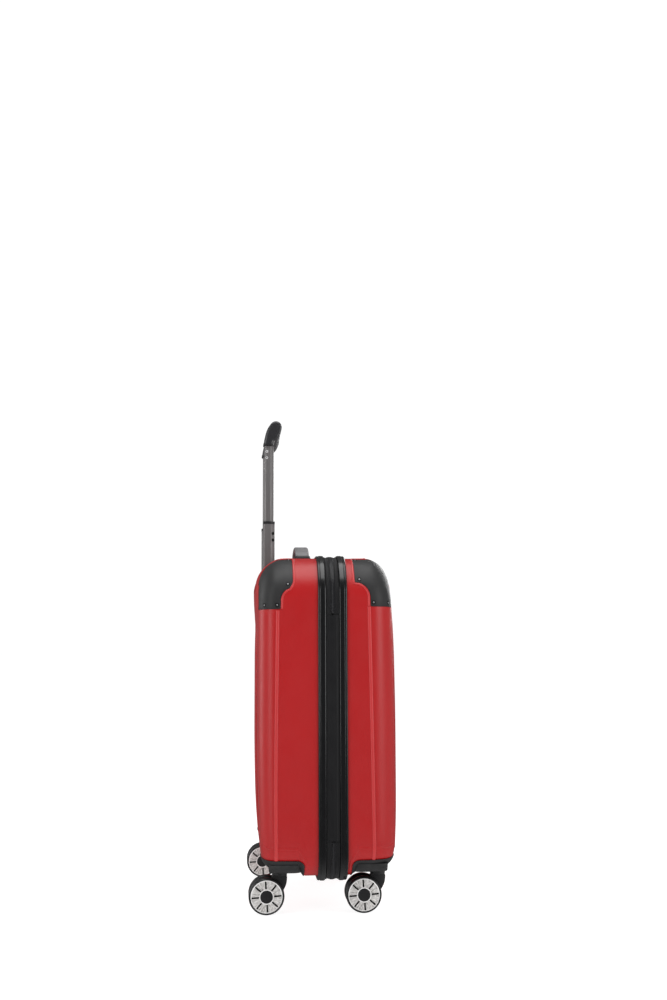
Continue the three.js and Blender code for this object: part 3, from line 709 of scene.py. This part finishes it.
# ---- corner guards
for half in HALVES:
    near, lobe, foot, step = half["guard"]
    key = half["name"]
    guard = guard_form(half, 1, -0.5, -1.4)
    other = mirrored(guard, f"guard_{key}_hinge_side")
    guard.name = f"guard_{key}_lock_side"
    for piece, side_name in ((guard, "lock_side"), (other, "hinge_side")):
        finished(piece, half["body"], GUARD, "charcoal_guard", [f"corner_guard_{key}_{side_name}"],
                 angle=30, bevel=0.5)
    for side, side_name in SIDES:
        spots = [(near + 7.5, half["screw"]), (lobe + 5.5, foot + 6.2), (half["depth"] - 8.5, foot + 6.2)]
        places = [spot(half, side, u, z, -0.5) for u, z in spots] + [surface(half, side, 84, near + 5, -0.5)]
        for i, (point, normal) in enumerate(places):
            # Each screw is a near-black ring, painted shade of its socket, round a plated steel core.
            for form, profile, material in (("screw", SCREW, HOLE_SHADE), ("screw_core", SCREW_CORE, STEEL)):
                made = stud(f"{form}_{key}_{side_name}_{i}", point, normal, profile)
                finished(made, half["body"], material, "dark_plastic", angle=50)

# ---- caster housings
BOSS_PROFILE = [(5.6, 19), (16, 19), (16, 3.4), (15, 2.4), (5.6, 2.4)]
# The skirt under each housing: height, outer x and inset of each level.
SKIRT_LEVELS = ((62.0, 171, 2.2), (62.9, 173.5, 0.8), (64.5, 175.5, 0), (70, 179, 0), (76, 181, 0))
for half in HALVES:
    inner, top, outer_top = half["housing"]
    sign, key = half["sign"], half["name"]
    view = [(inner, 40), (inner, top - 8)] + arc(inner + 8, top - 8, 8, 180, 90, 6)[1:]
    view += [(134, outer_top), (134, 40)]
    wrap = skin(half, 1.6, -0.9)
    boolean(wrap, prism("corner", [(sign * u, z) for u, z in view], "x", 119.5, 215), "INTERSECT")
    other = mirrored(wrap, f"housing_{key}_hinge_side")
    wrap.name = f"housing_{key}_lock_side"
    for piece, side, side_name in ((wrap, 1, "lock_side"), (other, -1, "hinge_side")):
        finished(piece, half["body"], GUARD, "charcoal_guard", [f"caster_housing_{key}_{side_name}"],
                 angle=30, bevel=0.7)
        centre = (side * STEM_X, half["stem"], 60)
        boss = turned(f"boss_{key}_{side_name}", "z", centre, BOSS_PROFILE, 40)
        finished(boss, half["body"], GUARD, "charcoal_guard", angle=40)
        far = abs(half["stem"]) + (17 if half is BACK else 13.5)
        levels = []
        for z, x1, inset in SKIRT_LEVELS:
            plan = rounded(122 + inset, x1 - inset, inner + 3 + inset, far - inset, 9, 6)
            levels.append([(side * x, sign * u, z) for x, u in plan])
        skirt = lofted(f"caster_skirt_{key}_{side_name}", levels)
        boolean(skirt, block("stem_room", (side * STEM_X - 5.6, half["stem"] - 5.6, 55),
                             (side * STEM_X + 5.6, half["stem"] + 5.6, 90)))
        finished(skirt, half["body"], GUARD, "charcoal_guard", angle=35)

# ---- rims, zip and hinge
def rim_path(offset):
    """The case's outline with outward normals: a list of ((x, z), (nx, nz))."""
    points = outline(
        HALF_WIDTH + offset, TOP + offset, BOTTOM - offset, TOP_R + offset, FOOT_R + offset, 14, 12)
    out = []
    for i, p in enumerate(points):
        ahead, behind = Vector(points[(i + 1) % len(points)]), Vector(points[i - 1])
        t = (ahead - behind).normalized()
        out.append((p, (t.y, -t.x)))
    return out


def ring_loft(name, path, profile, sign, closed=True):
    """Carries a profile of (distance from the zip plane, height above the path) round the outline."""
    rings = [[(x + nx * o, sign * u, z + nz * o) for u, o in profile] for (x, z), (nx, nz) in path]
    if closed:
        return lofted(name, rings + rings[:1], caps=False)
    return lofted(name, rings)


RIM_PROFILE = [
    (10.7, -6), (10.7, 3.0), (11.0, 3.7), (11.8, 4.15), (13.2, 4.3), (16.8, 4.3), (17.9, 4.1), (18.3, 3.5),
    (18.9, 3.3), (19.5, 3.5), (19.8, 3.9), (20.6, 3.9), (21.8, 3.5), (22.5, 2.8), (22.8, 1.8), (22.8, 0.15),
    (12.4, 0.15), (12.4, -6),
]
TAPE_PROFILE = [
    (0.9, -1), (0.9, 1.2), (3.6, 1.3), (4.0, 1.9), (4.6, 2.1), (5.2, 1.9), (5.6, 1.4), (8.2, 1.4), (8.6, 2.1),
    (9.2, 2.4), (9.8, 2.1), (10.1, 1.4), (10.1, -1),
]


def tape_path():
    """The zip's run: all of the outline but the cloth hinge's stretch."""
    path = rim_path(0)
    left = [i for i, ((x, z), _) in enumerate(path) if x < -198 and 114 < z < 453]
    tail, head = path[left[-1] + 1:], path[:left[0]]
    ends = [((-HALF_WIDTH, 113), (-1, 0)), ((-HALF_WIDTH, 454), (-1, 0))]
    return [ends[0]] + tail + head + [ends[1]]


def walked(path, pitch):
    """Points at an even pitch along the path: (x, z, nx, nz)."""
    out, spare = [], 0.0
    for (a, na), (b, nb) in zip(path, path[1:]):
        length = math.dist(a, b)
        at = spare
        while at < length:
            t = at / length
            out.append(tuple(p + (q - p) * t for p, q in zip((*a, *na), (*b, *nb))))
            at += pitch
        spare = at - length
    return out


def tooth_row(name, half, shift):
    points, faces = [], []
    sign = half["sign"]
    run = tape_path()
    for x, z, nx, nz in walked(run, 2.3)[1:-1]:
        tx, tz = -nz, nx
        base = len(points)
        for o, near, far, w in ((1.0, -0.7, 3.4, 0.8), (2.2, -0.7, 3.4, 0.8), (2.75, 0.1, 2.8, 0.45)):
            for y, s in ((near, -w), (far, -w), (far, w), (near, w)):
                k = s + shift
                points.append((x + nx * o + tx * k, sign * y, z + nz * o + tz * k))
        for j in range(2):
            for k in range(4):
                a, b = base + 4 * j + k, base + 4 * j + (k + 1) % 4
                faces.append((a, b, b + 4, a + 4))
        faces.append((base + 8, base + 9, base + 10, base + 11))
    return raw(name, points, faces)


for half, shift in ((BACK, 0.0), (FRONT, 1.15)):
    key, sign = half["name"], half["sign"]
    rim = ring_loft(f"{key}_rim_band", rim_path(0), RIM_PROFILE, sign)
    finished(rim, half["body"], RIM, "black_rim", [f"{key}_rim"], angle=28)
    tape = ring_loft(f"{key}_zip_webbing", tape_path(), TAPE_PROFILE, sign, closed=False)
    finished(tape, half["body"], TAPE, "black_fabric", [f"{key}_zip_tape"], angle=30)
    teeth = tooth_row(f"{key}_zip_teeth", half, shift)
    finished(teeth, half["body"], TEETH, "dark_plastic", angle=30)

HINGE_ROWS = 96
hinge_points = []
for i in range(HINGE_ROWS + 1):
    z = 113.4 + 340.2 * i / HINGE_ROWS
    for k in range(25):
        y = 10.3 - 20.6 * k / 24
        bulge = 1.5 * math.cos(math.pi * y / 20.6) + 0.45 * math.exp(-((y + 5.4) / 1.1) ** 2)
        hem = 0.5 * (math.exp(-((y - 8.6) / 0.8) ** 2) + math.exp(-((y + 8.6) / 0.8) ** 2))
        wave = 0.12 * math.sin(z / 23) * math.cos(math.pi * y / 20.6)
        hinge_points.append((-200.4 - bulge - hem - wave, y, z))
hinge = raw("hinge_cloth_band", hinge_points, grid_faces(HINGE_ROWS + 1, 25, closed=False))
hinge.modifiers.new("cloth", "SOLIDIFY").thickness = 0.0006
settle(hinge)
hinge.data.materials.append(HINGE_CLOTH)
shade(hinge.data, 60)
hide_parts("hinge_strip")
place((-201.5, 7.5, 300))
place((-201.5, -7.5, 300))
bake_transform(hinge)

# ---- casters
def smoothed(points):
    """Corner cutting, twice over, for a flowing outline."""
    for _ in range(2):
        out = []
        for i, p in enumerate(points):
            q = points[(i + 1) % len(points)]
            out.append((0.75 * p[0] + 0.25 * q[0], 0.75 * p[1] + 0.25 * q[1]))
            out.append((0.25 * p[0] + 0.75 * q[0], 0.25 * p[1] + 0.75 * q[1]))
        points = out
    return points


def wheel_part(name, centre, outward, profile, steps, caps=True):
    """A turned piece of a wheel; its profile is (radius, distance outward from the wheels' middle)."""
    return turned(name, "x", centre, [(r, outward * w) for r, w in profile], steps, caps, local=True)


def trim_disc(name, centre, outward):
    """The brushed disc with eight open slots, slightly domed."""
    disc = wheel_part(name, centre, outward, DISC_PROFILE + DISC_PROFILE[:1], 64, caps=False)
    _, cy, cz = centre
    for i in range(8):
        t = math.radians(45 * i - 4)
        c, s = math.cos(t), math.sin(t)
        slot = [(cy + r * c - w * s, cz + r * s + w * c) for r, w in rounded(11.3, 23.0, -1.3, 1.3, 1.2, 4)]
        boolean(disc, prism("slot", slot, "x", centre[0] - 30, centre[0] + 30))
    return disc


TYRE_PROFILE = [
    (3.4, 6.4), (22.5, 6.4), (25.6, 7.0), (27.0, 8.4), (27.5, 10.4), (27.5, 15.4), (27.2, 17.0), (26.6, 18.2),
    (25.8, 19.1), (25.2, 19.3), (24.8, 19.0), (24.7, 17.6), (3.4, 17.6),
]
DISC_PROFILE = [
    (9.5, 18.2), (9.5, 19.25), (11, 19.45), (17, 19.4), (21.5, 19.15), (23.6, 18.75), (24.5, 18.2),
]
# A near-black disc just behind the trim disc, darker than the tyre it covers: painted shade seen through the
# disc's slots.
SLOT_SHADE_PROFILE = [(24.6, 17.7), (24.6, 18.3), (3.4, 18.3)]
CAP_PROFILE = [(9.9, 17.8), (9.9, 19.1), (9.4, 19.6), (8.0, 19.75), (4.0, 19.6), (0.2, 19.55)]

for half in HALVES:
    key, y = half["name"], half["stem"]
    hub = (half["wheel"], WHEEL_R)
    for side, side_name in SIDES:
        tag = f"{key}_{side_name}"
        body, x = f"caster_{tag}", side * STEM_X
        neck = [(y - 11.6, 57.5), (y - 11.6, 49), (y - 9.8, 41), (y - 5.3, 33), (y + 2, 25)]
        arm = neck + arc(*hub, 9, 225, 430, 9) + [(y + 13.2, 44), (y + 12, 50), (y + 11.6, 57.5)]
        leg = prism("leg", smoothed(arm), "x", x - 5.5, x + 5.5)
        collar = [(11.6, 55.9), (11.6, 60.9), (11.2, 61.3), (5.2, 61.3), (5.2, 76)]
        stem = turned("stem", "z", (x, y, 0), [(0.2, 55.9)] + collar, 40)
        bridge = smoothed([(y - 11.6, 50), (y - 11.6, 57.4), (y + 11.6, 57.4), (y + 11.6, 50), (y, 53)])
        hood = prism("hood", bridge, "x", x - 5.2, x + 5.2)
        fork = merged(f"fork_{tag}", [leg, stem, hood])
        finished(fork, body, FORK, "dark_plastic", [f"caster_fork_{tag}"], angle=35, bevel=0.9)
        for turn_name, outward in (("outer", side), ("inner", -side)):
            which = f"{tag}_{turn_name}"
            wheel_body = f"wheel_{which}"
            place_of = ((x, *hub), outward)
            tyre = wheel_part(f"tyre_{which}", *place_of, TYRE_PROFILE + TYRE_PROFILE[:1], 64, caps=False)
            finished(tyre, wheel_body, TYRE, "wheel", [wheel_body], angle=40)
            disc = trim_disc(f"trim_disc_{which}", *place_of)
            finished(disc, wheel_body, DISC, "steel", angle=40)
            # Painted shade behind the trim disc's slots.
            slot_shade = wheel_part(f"disc_backing_{which}", *place_of, SLOT_SHADE_PROFILE, 48)
            finished(slot_shade, wheel_body, HOLE_SHADE, "wheel", angle=40)
            cap = wheel_part(f"hub_cap_{which}", *place_of, CAP_PROFILE, 40)
            finished(cap, wheel_body, DARK, "dark_plastic", angle=40)

# ---- trolley handle
def tube_section(x, width, depth):
    w, d = width / 2, depth / 2
    front, flank, rear = 0.32 * depth, 0.2 * width, 1.8
    return [
        (x - w + flank, POLE_Y - d), (x + w - flank, POLE_Y - d), (x + w, POLE_Y - d + front),
        (x + w, POLE_Y + d - rear), (x + w - rear, POLE_Y + d), (x - w + rear, POLE_Y + d),
        (x - w, POLE_Y + d - rear), (x - w, POLE_Y - d + front),
    ]


EYELET = [(2.1, -0.3), (2.1, 0.02), (1.8, 0.12), (1.2, 0.1), (1.1, -0.2), (0.1, -0.2)]
PIN = [(0.9, -0.3), (0.9, -0.1), (0.7, 0.04), (0.1, 0.06)]
LATCH_HOLE = [(2.6, -0.6), (2.6, -0.02), (2.3, 0.08), (1.9, 0.02), (1.7, -0.3), (0.1, -0.3)]
for side, side_name in SIDES:
    x = side * POLE_X
    for stage, width, depth, low, high, body in (
        ("inner", 18.8, 15.5, 435, 741.6, "grip_stage"),
        ("middle", 22.4, 19.2, 274.5, 611.8, "middle_stage"),
    ):
        tube = prism(f"{stage}_pole_{side_name}", tube_section(x, width, depth), "z", low, high)
        if stage == "middle":
            boolean(tube, prism("bore", tube_section(x, width - 3, depth - 3), "z", low - 1, high + 1))
        finished(tube, body, TUBE, "gunmetal_tube", [f"{stage}_tube_{side_name}"],
                 angle=40, bevel=1.3, segments=3)
    collar = prism(f"pole_collar_{side_name}", tube_section(x, 22.9, 19.7), "z", 608.6, 613.0)
    boolean(collar, prism("bore", tube_section(x, 19.2, 15.9), "z", 600, 620))
    finished(collar, "middle_stage", DARK, "dark_plastic", angle=40, bevel=0.4)
    for out, mark in ((-1, "a"), (1, "b")):
        for i, z in enumerate((731.4, 720.7)):
            point = (x + out * 9.4, 99.5, z)
            # Each pin is a pale ring, its brightness partly a painted reflection, round a near-black centre
            # that is painted shade.
            for form, profile, material in (("pin_ring", EYELET, PIN_RING_SHEEN), ("pin_head", PIN, HOLE_SHADE)):
                made = stud(f"{form}_{side_name}_{mark}{i}", point, (out, 0, 0), profile)
                finished(made, "grip_stage", material, "steel", angle=50)
        for i, z in enumerate((592.8, 581.9)):
            # Each latch hole is a near-black disc standing on the tube: painted shade in place of the open
            # hole.
            point = (x + out * 9.5, 88.5, z)
            hole = stud(f"stage_hole_{side_name}_{mark}{i}", point, (out * 6.0, -4.5, 0), LATCH_HOLE)
            finished(hole, "middle_stage", HOLE_SHADE, "gunmetal_tube", angle=50)


GRIP_HALF = 72.4


def grip_ring(x, outline_points, squeeze=1.0):
    cy = sum(p[0] for p in outline_points) / len(outline_points)
    cz = sum(p[1] for p in outline_points) / len(outline_points)
    bow = 1 - min(1, abs(x) / GRIP_HALF) ** 2
    return [(x, cy + (y - cy) * squeeze + 0.6 * bow, cz + (z - cz) * squeeze + 0.5 * bow)
            for y, z in outline_points]


BAR = smoothed([
    (91.5, 751.2), (95.6, 756), (97.9, 763), (96.9, 771), (93.6, 778.2), (89.4, 782.2), (85, 783.9),
    (80.2, 783), (76.6, 780.4), (74.1, 775.8), (74.0, 770), (75.8, 764), (79, 757.3), (83, 752.2),
    (87.4, 749.9),
])
ROUND_END = ((0, 0.84), (0.7, 0.94), (2.6, 1.0))  # inset from the end and the section's scale there
bar_rings = [grip_ring(inset - GRIP_HALF, BAR, q) for inset, q in ROUND_END]
bar_rings += [grip_ring(-65 + 6.5 * i, BAR) for i in range(21)]
bar_rings += [grip_ring(GRIP_HALF - inset, BAR, q) for inset, q in ROUND_END[::-1]]
grip_parts = [lofted("bar", bar_rings)]
LEG_LEVELS = (
    (742, 89.1, 105.1), (746, 87.8, 104.7), (750, 86.6, 104.1), (754.3, 85.5, 103.3), (759.2, 84.2, 102.1),
    (764, 83.1, 100.8), (768, 82.6, 99.4), (772, 82.6, 97.6), (775, 83, 95.6),
)
for side in (-1, 1):
    x0, x1 = side * POLE_X - 12.4, side * POLE_X + 12.4
    levels = [[(x, y, z) for x, y in rounded(x0, x1, y0, y1, 4.5)] for z, y0, y1 in LEG_LEVELS]
    grip_parts.append(lofted("leg", levels))
grip = merged("grip_moulding", grip_parts)
mod = grip.modifiers.new("blend", "REMESH")
mod.mode, mod.voxel_size = "VOXEL", 0.0014
mod = grip.modifiers.new("flow", "SMOOTH")
mod.factor, mod.iterations = 0.6, 6
settle(grip)
boolean(grip, block("socket", (-16.5, 80.5, 771.5), (16.5, 90.5, 800)))
finished(grip, "grip_stage", GRIP, "soft_grip", ["grip"], angle=50)
for side, side_name in SIDES:
    x = side * POLE_X
    cuff = prism(f"grip_cuff_{side_name}", rounded(x - 11.9, x + 11.9, 88.4, 105.4, 4), "z", 741.7, 745.2)
    finished(cuff, "grip_stage", DARK, "dark_plastic", angle=40, bevel=0.5)

# ---- carry handles
FRAMES = {
    "top": lambda u, v, h: (u, HANDLE_Y + v, TOP + h),
    "side": lambda u, v, h: (HALF_WIDTH + h, HANDLE_Y + v, 300 - u),
}
STRAP_SECTION = rounded(-11.5, 11.5, -3.2, 3.0, 2.6, 5)
for key, at in FRAMES.items():
    path = []
    for i in range(45):
        t = math.pi * (1 - i / 44)
        c, s = math.cos(t), math.sin(t)
        path.append((63 * math.copysign(abs(c) ** (2 / 2.1), c), 25.6 * abs(s) ** (2 / 2.1)))
    path = [(-63, -6)] + path + [(63, -6)]
    rings = []
    for i, (u, h) in enumerate(path):
        before, after = Vector(path[max(0, i - 1)]), Vector(path[min(len(path) - 1, i + 1)])
        along = (after - before).normalized()
        up = Vector((-along.y, along.x))
        swell = 1 + 0.10 * math.exp(-(u / 38) ** 4)
        rings.append([at(u + up.x * b * swell, a, h + up.y * b * swell) for a, b in STRAP_SECTION])
    strap = lofted(f"{key}_handle_strap", rings)
    finished(strap, f"{key}_handle", STRAP, "soft_grip", [f"{key}_handle"], angle=50)
    base = [refined(f"{key}_handle_base")]
    for end in (-1, 1):
        u0, u1 = sorted((end * 57.5, end * 79.5))
        low = [at(u, v, 0.3) for u, v in rounded(u0, u1, -13.5, 13.5, 4)]
        mid = [at(u, v, 5.5) for u, v in rounded(u0 + 0.6, u1 - 0.6, -12.9, 12.9, 4)]
        top = [at(u, v, 9.2) for u, v in rounded(u0 + 2.2, u1 - 2.2, -11.4, 11.4, 3.4)]
        base.append(lofted("end_block", [low, mid, top]))
    finished(merged(f"{key}_handle_mount", base), "case", DARK, "dark_plastic", [f"{key}_handle_base"],
             angle=35, bevel=0.6)

# ---- lining and dividers
def lining(half, depth):
    inner = dict(half, depth=depth, run=20, drop=20, top_round=20)
    rings = []
    near = [14.6, 17, 20, 23] + [26 + i * 2 for i in range(40)]
    for u in [u for u in near if u < depth - 13] + [depth - 12, depth - 6, depth - 2, depth - 0.4]:
        shape = outline(**section(inner, u, -2.6))
        rings.append([leant(half, x, z, u) for x, z in shape])
    middle = (TOP + BOTTOM) / 2
    last = rings[-1]
    for scale in (0.9, 0.7, 0.4, 0.1):
        rings.append([leant(half, x * scale, middle + (z - middle) * scale, depth) for x, _, z in last])
    points = [p for ring in rings for p in ring]
    count = len(last)
    faces = grid_faces(len(rings), count) + [tuple(range(len(points) - count, len(points)))]
    return raw(f"{half['name']}_lining", points, faces)


for half, depth in ((BACK, 68.4), (FRONT, 78)):
    cloth = lining(half, depth)
    finished(cloth, half["body"], LINING, "lining", angle=40)


# The divider: a padded cloth panel closing the front half, with a zip round it and a hemmed pocket.
def framed(inset):
    offset = -6 - inset
    top_r = max(TOP_R + offset, 8)
    foot_r = max(FOOT_R + offset, 6)
    return outline(HALF_WIDTH + offset, TOP + offset, BOTTOM - offset, top_r, foot_r, 8, 10)


PAD = (
    (110, -15.9), (60, -15.9), (24, -15.9), (0.4, -15.9), (0.2, -14.4), (2.5, -14.05), (9, -14.0),
    (24, -13.6), (60, -13.2), (110, -13.1),
)
panel = lofted("divider_cloth", [[(x, y, z) for x, z in framed(inset)] for inset, y in PAD])
finished(panel, "front_half", LINING, "lining", ["divider_panel"], angle=40)
cord_path = [(x, -13.7, z) for x, z in framed(14)]
coil = [(1.9 * math.cos(t), 1.1 * math.sin(t)) for t in [2 * math.pi * i / 10 for i in range(10)]]
divider_zip = swept("divider_zip_line", cord_path, [(0, 1, 0)] * len(cord_path), coil, closed=True)
finished(divider_zip, "front_half", TEETH, "dark_plastic", angle=60)
pocket = prism("divider_pocket_hem", rounded(-130, 130, 300, 306, 2.5), "y", -13.9, -12.4)
finished(pocket, "front_half", WEBBING, "black_fabric", angle=40, bevel=0.4)
for x, mark in ((-130, "a"), (124, "b")):
    hem = prism(f"divider_pocket_side_{mark}", rounded(x, x + 6, 110, 306, 2.5), "y", -13.9, -12.6)
    finished(hem, "front_half", WEBBING, "black_fabric", angle=40, bevel=0.4)

# ---- lock, zip pulls and other carried-over parts
ENDS = ("upper", "lower")
small = [
    ("lock_body", "front_half", RIM, "black_rim", 1.0),
    ("lock_slide", "lock_slide", STEEL, "steel", 0.5),
    ("release_button", "release_button", DARK, "dark_plastic", 1.2),
]
small += [(f"strap_buckle_{end}", "case", DARK, "dark_plastic", 1.0) for end in ENDS]
for node, bevel in (("zip_slider", 0.5), ("zip_pull", 0.35)):
    small += [(f"{node}_{end}", f"{node}_{end}", STEEL, "steel", bevel) for end in ENDS]
for node, body, material, slot, bevel in small:
    finished(refined(node), body, material, slot, [node], angle=40, bevel=bevel)

for i, z in enumerate((275, 286, 297), 1):
    rim_steps = []
    for k in range(40):
        r = 8.5 if k % 4 < 2 else 8.0
        t = 2 * math.pi * k / 40
        rim_steps.append((194.6 + r * math.cos(t), -41.5 + r * math.sin(t)))
    dial = prism(f"number_wheel_{i}", rim_steps, "z", z - 3, z + 3)
    finished(dial, f"lock_dial_{i}", DARK, "dark_plastic", [f"lock_dial_{i}"], angle=40, bevel=0.3)

CARRIED = {"handle_well": DARK, "tube_bracket": DARK}
CARRIED.update({f"packing_strap_{end}": WEBBING for end in ENDS})
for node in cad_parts:
    if "outer_tube" in node:
        CARRIED[node] = TUBE
    elif node.startswith("axle"):
        CARRIED[node] = STEEL
for node, material in CARRIED.items():
    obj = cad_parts[node]
    if not obj.material_slots:
        obj.data.materials.append(material)
    for item in obj.material_slots:
        item.material = material

# ---- studio
def flat(name, colour, roughness, glow):
    n = Surface(name)
    shade = n.mix(n.noise(0.6, 2), tint(colour, 0.99), tint(colour, 1.0))
    return n.finish({
        "Base Color": shade, "Roughness": roughness, "Specular IOR Level": 0.1,
        "Emission Color": (1, 1, 1, 1), "Emission Strength": glow,
    })


FLOOR = 80000
corners = [(-FLOOR, -FLOOR, -0.2), (FLOOR, -FLOOR, -0.2), (FLOOR, FLOOR, -0.2), (-FLOOR, FLOOR, -0.2)]
floor = raw("floor", corners, [(0, 1, 2, 3)])
floor.data.materials.append(flat("floor_white", (0.35, 0.35, 0.35), 0.8, 0.9))
floor.visible_glossy = False

world = bpy.data.worlds.new("studio")
bpy.context.scene.world = world
world.use_nodes = True
studio = Nodes(world.node_tree)
direction = studio.node("ShaderNodeTexCoord").outputs["Generated"]
sideways = studio.math("ABSOLUTE", studio.node("ShaderNodeSeparateXYZ", {0: direction}).outputs[0])
sweep = studio.ramp(sideways, 0.35, 0.85, 0.42, 0.12)
seen = studio.node("ShaderNodeLightPath").outputs["Is Camera Ray"]
strength = studio.node("ShaderNodeMix", {"Factor": seen, "A": sweep, "B": 1.05}).outputs["Result"]
background = studio.tree.nodes["Background"]
studio.fill(background.inputs, {"Color": (1, 1, 1, 1), "Strength": strength})


def softbox(name, position, target, size, power):
    light = bpy.data.lights.new(name, "AREA")
    light.shape = "RECTANGLE"
    light.size, light.size_y = size
    light.energy = power
    obj = bpy.data.objects.new(name, light)
    bpy.context.scene.collection.objects.link(obj)
    obj.location = position
    obj.rotation_euler = (Vector(target) - Vector(position)).to_track_quat("-Z", "Y").to_euler()


softbox("key_back_hinge", (-2.0, 2.2, 0.9), (0, 0, 0.35), (1.3, 1.8), 24)
softbox("key_front_hinge", (-2.0, -2.2, 0.9), (0, 0, 0.35), (1.3, 1.8), 24)
softbox("key_back_lock", (1.5, 2.5, 0.8), (0, 0, 0.35), (1.0, 1.8), 12)
softbox("key_front_lock", (2.3, -1.5, 1.3), (0, 0, 0.5), (1.0, 1.4), 26)
softbox("overhead", (-0.5, 0, 2.8), (0, 0, 0.3), (2.2, 2.4), 52)

# ---- camera
YAW, PITCH, ROLL = -0.0829, 0.1262, -0.0041
EYE = (-1980.38, 146.03, 406.39)
ahead = Vector((math.cos(YAW), math.sin(YAW), 0))
right = Vector((math.sin(YAW), -math.cos(YAW), 0))
rise = Vector((0, 0, 1))
look = ahead * math.cos(PITCH) + rise * math.sin(PITCH)
up = rise * math.cos(PITCH) - ahead * math.sin(PITCH)
across = right * math.cos(ROLL) + up * math.sin(ROLL)
upright = up * math.cos(ROLL) - right * math.sin(ROLL)
lens = bpy.data.cameras.new("camera")
lens.sensor_width, lens.lens = 36, 41.377
camera = bpy.data.objects.new("camera", lens)
bpy.context.scene.collection.objects.link(camera)
pose = Matrix((across, upright, -look)).transposed().to_4x4()
pose.translation = place(EYE)
camera.matrix_world = pose
bpy.context.scene.camera = camera
bpy.context.scene.view_settings.view_transform = "Standard"
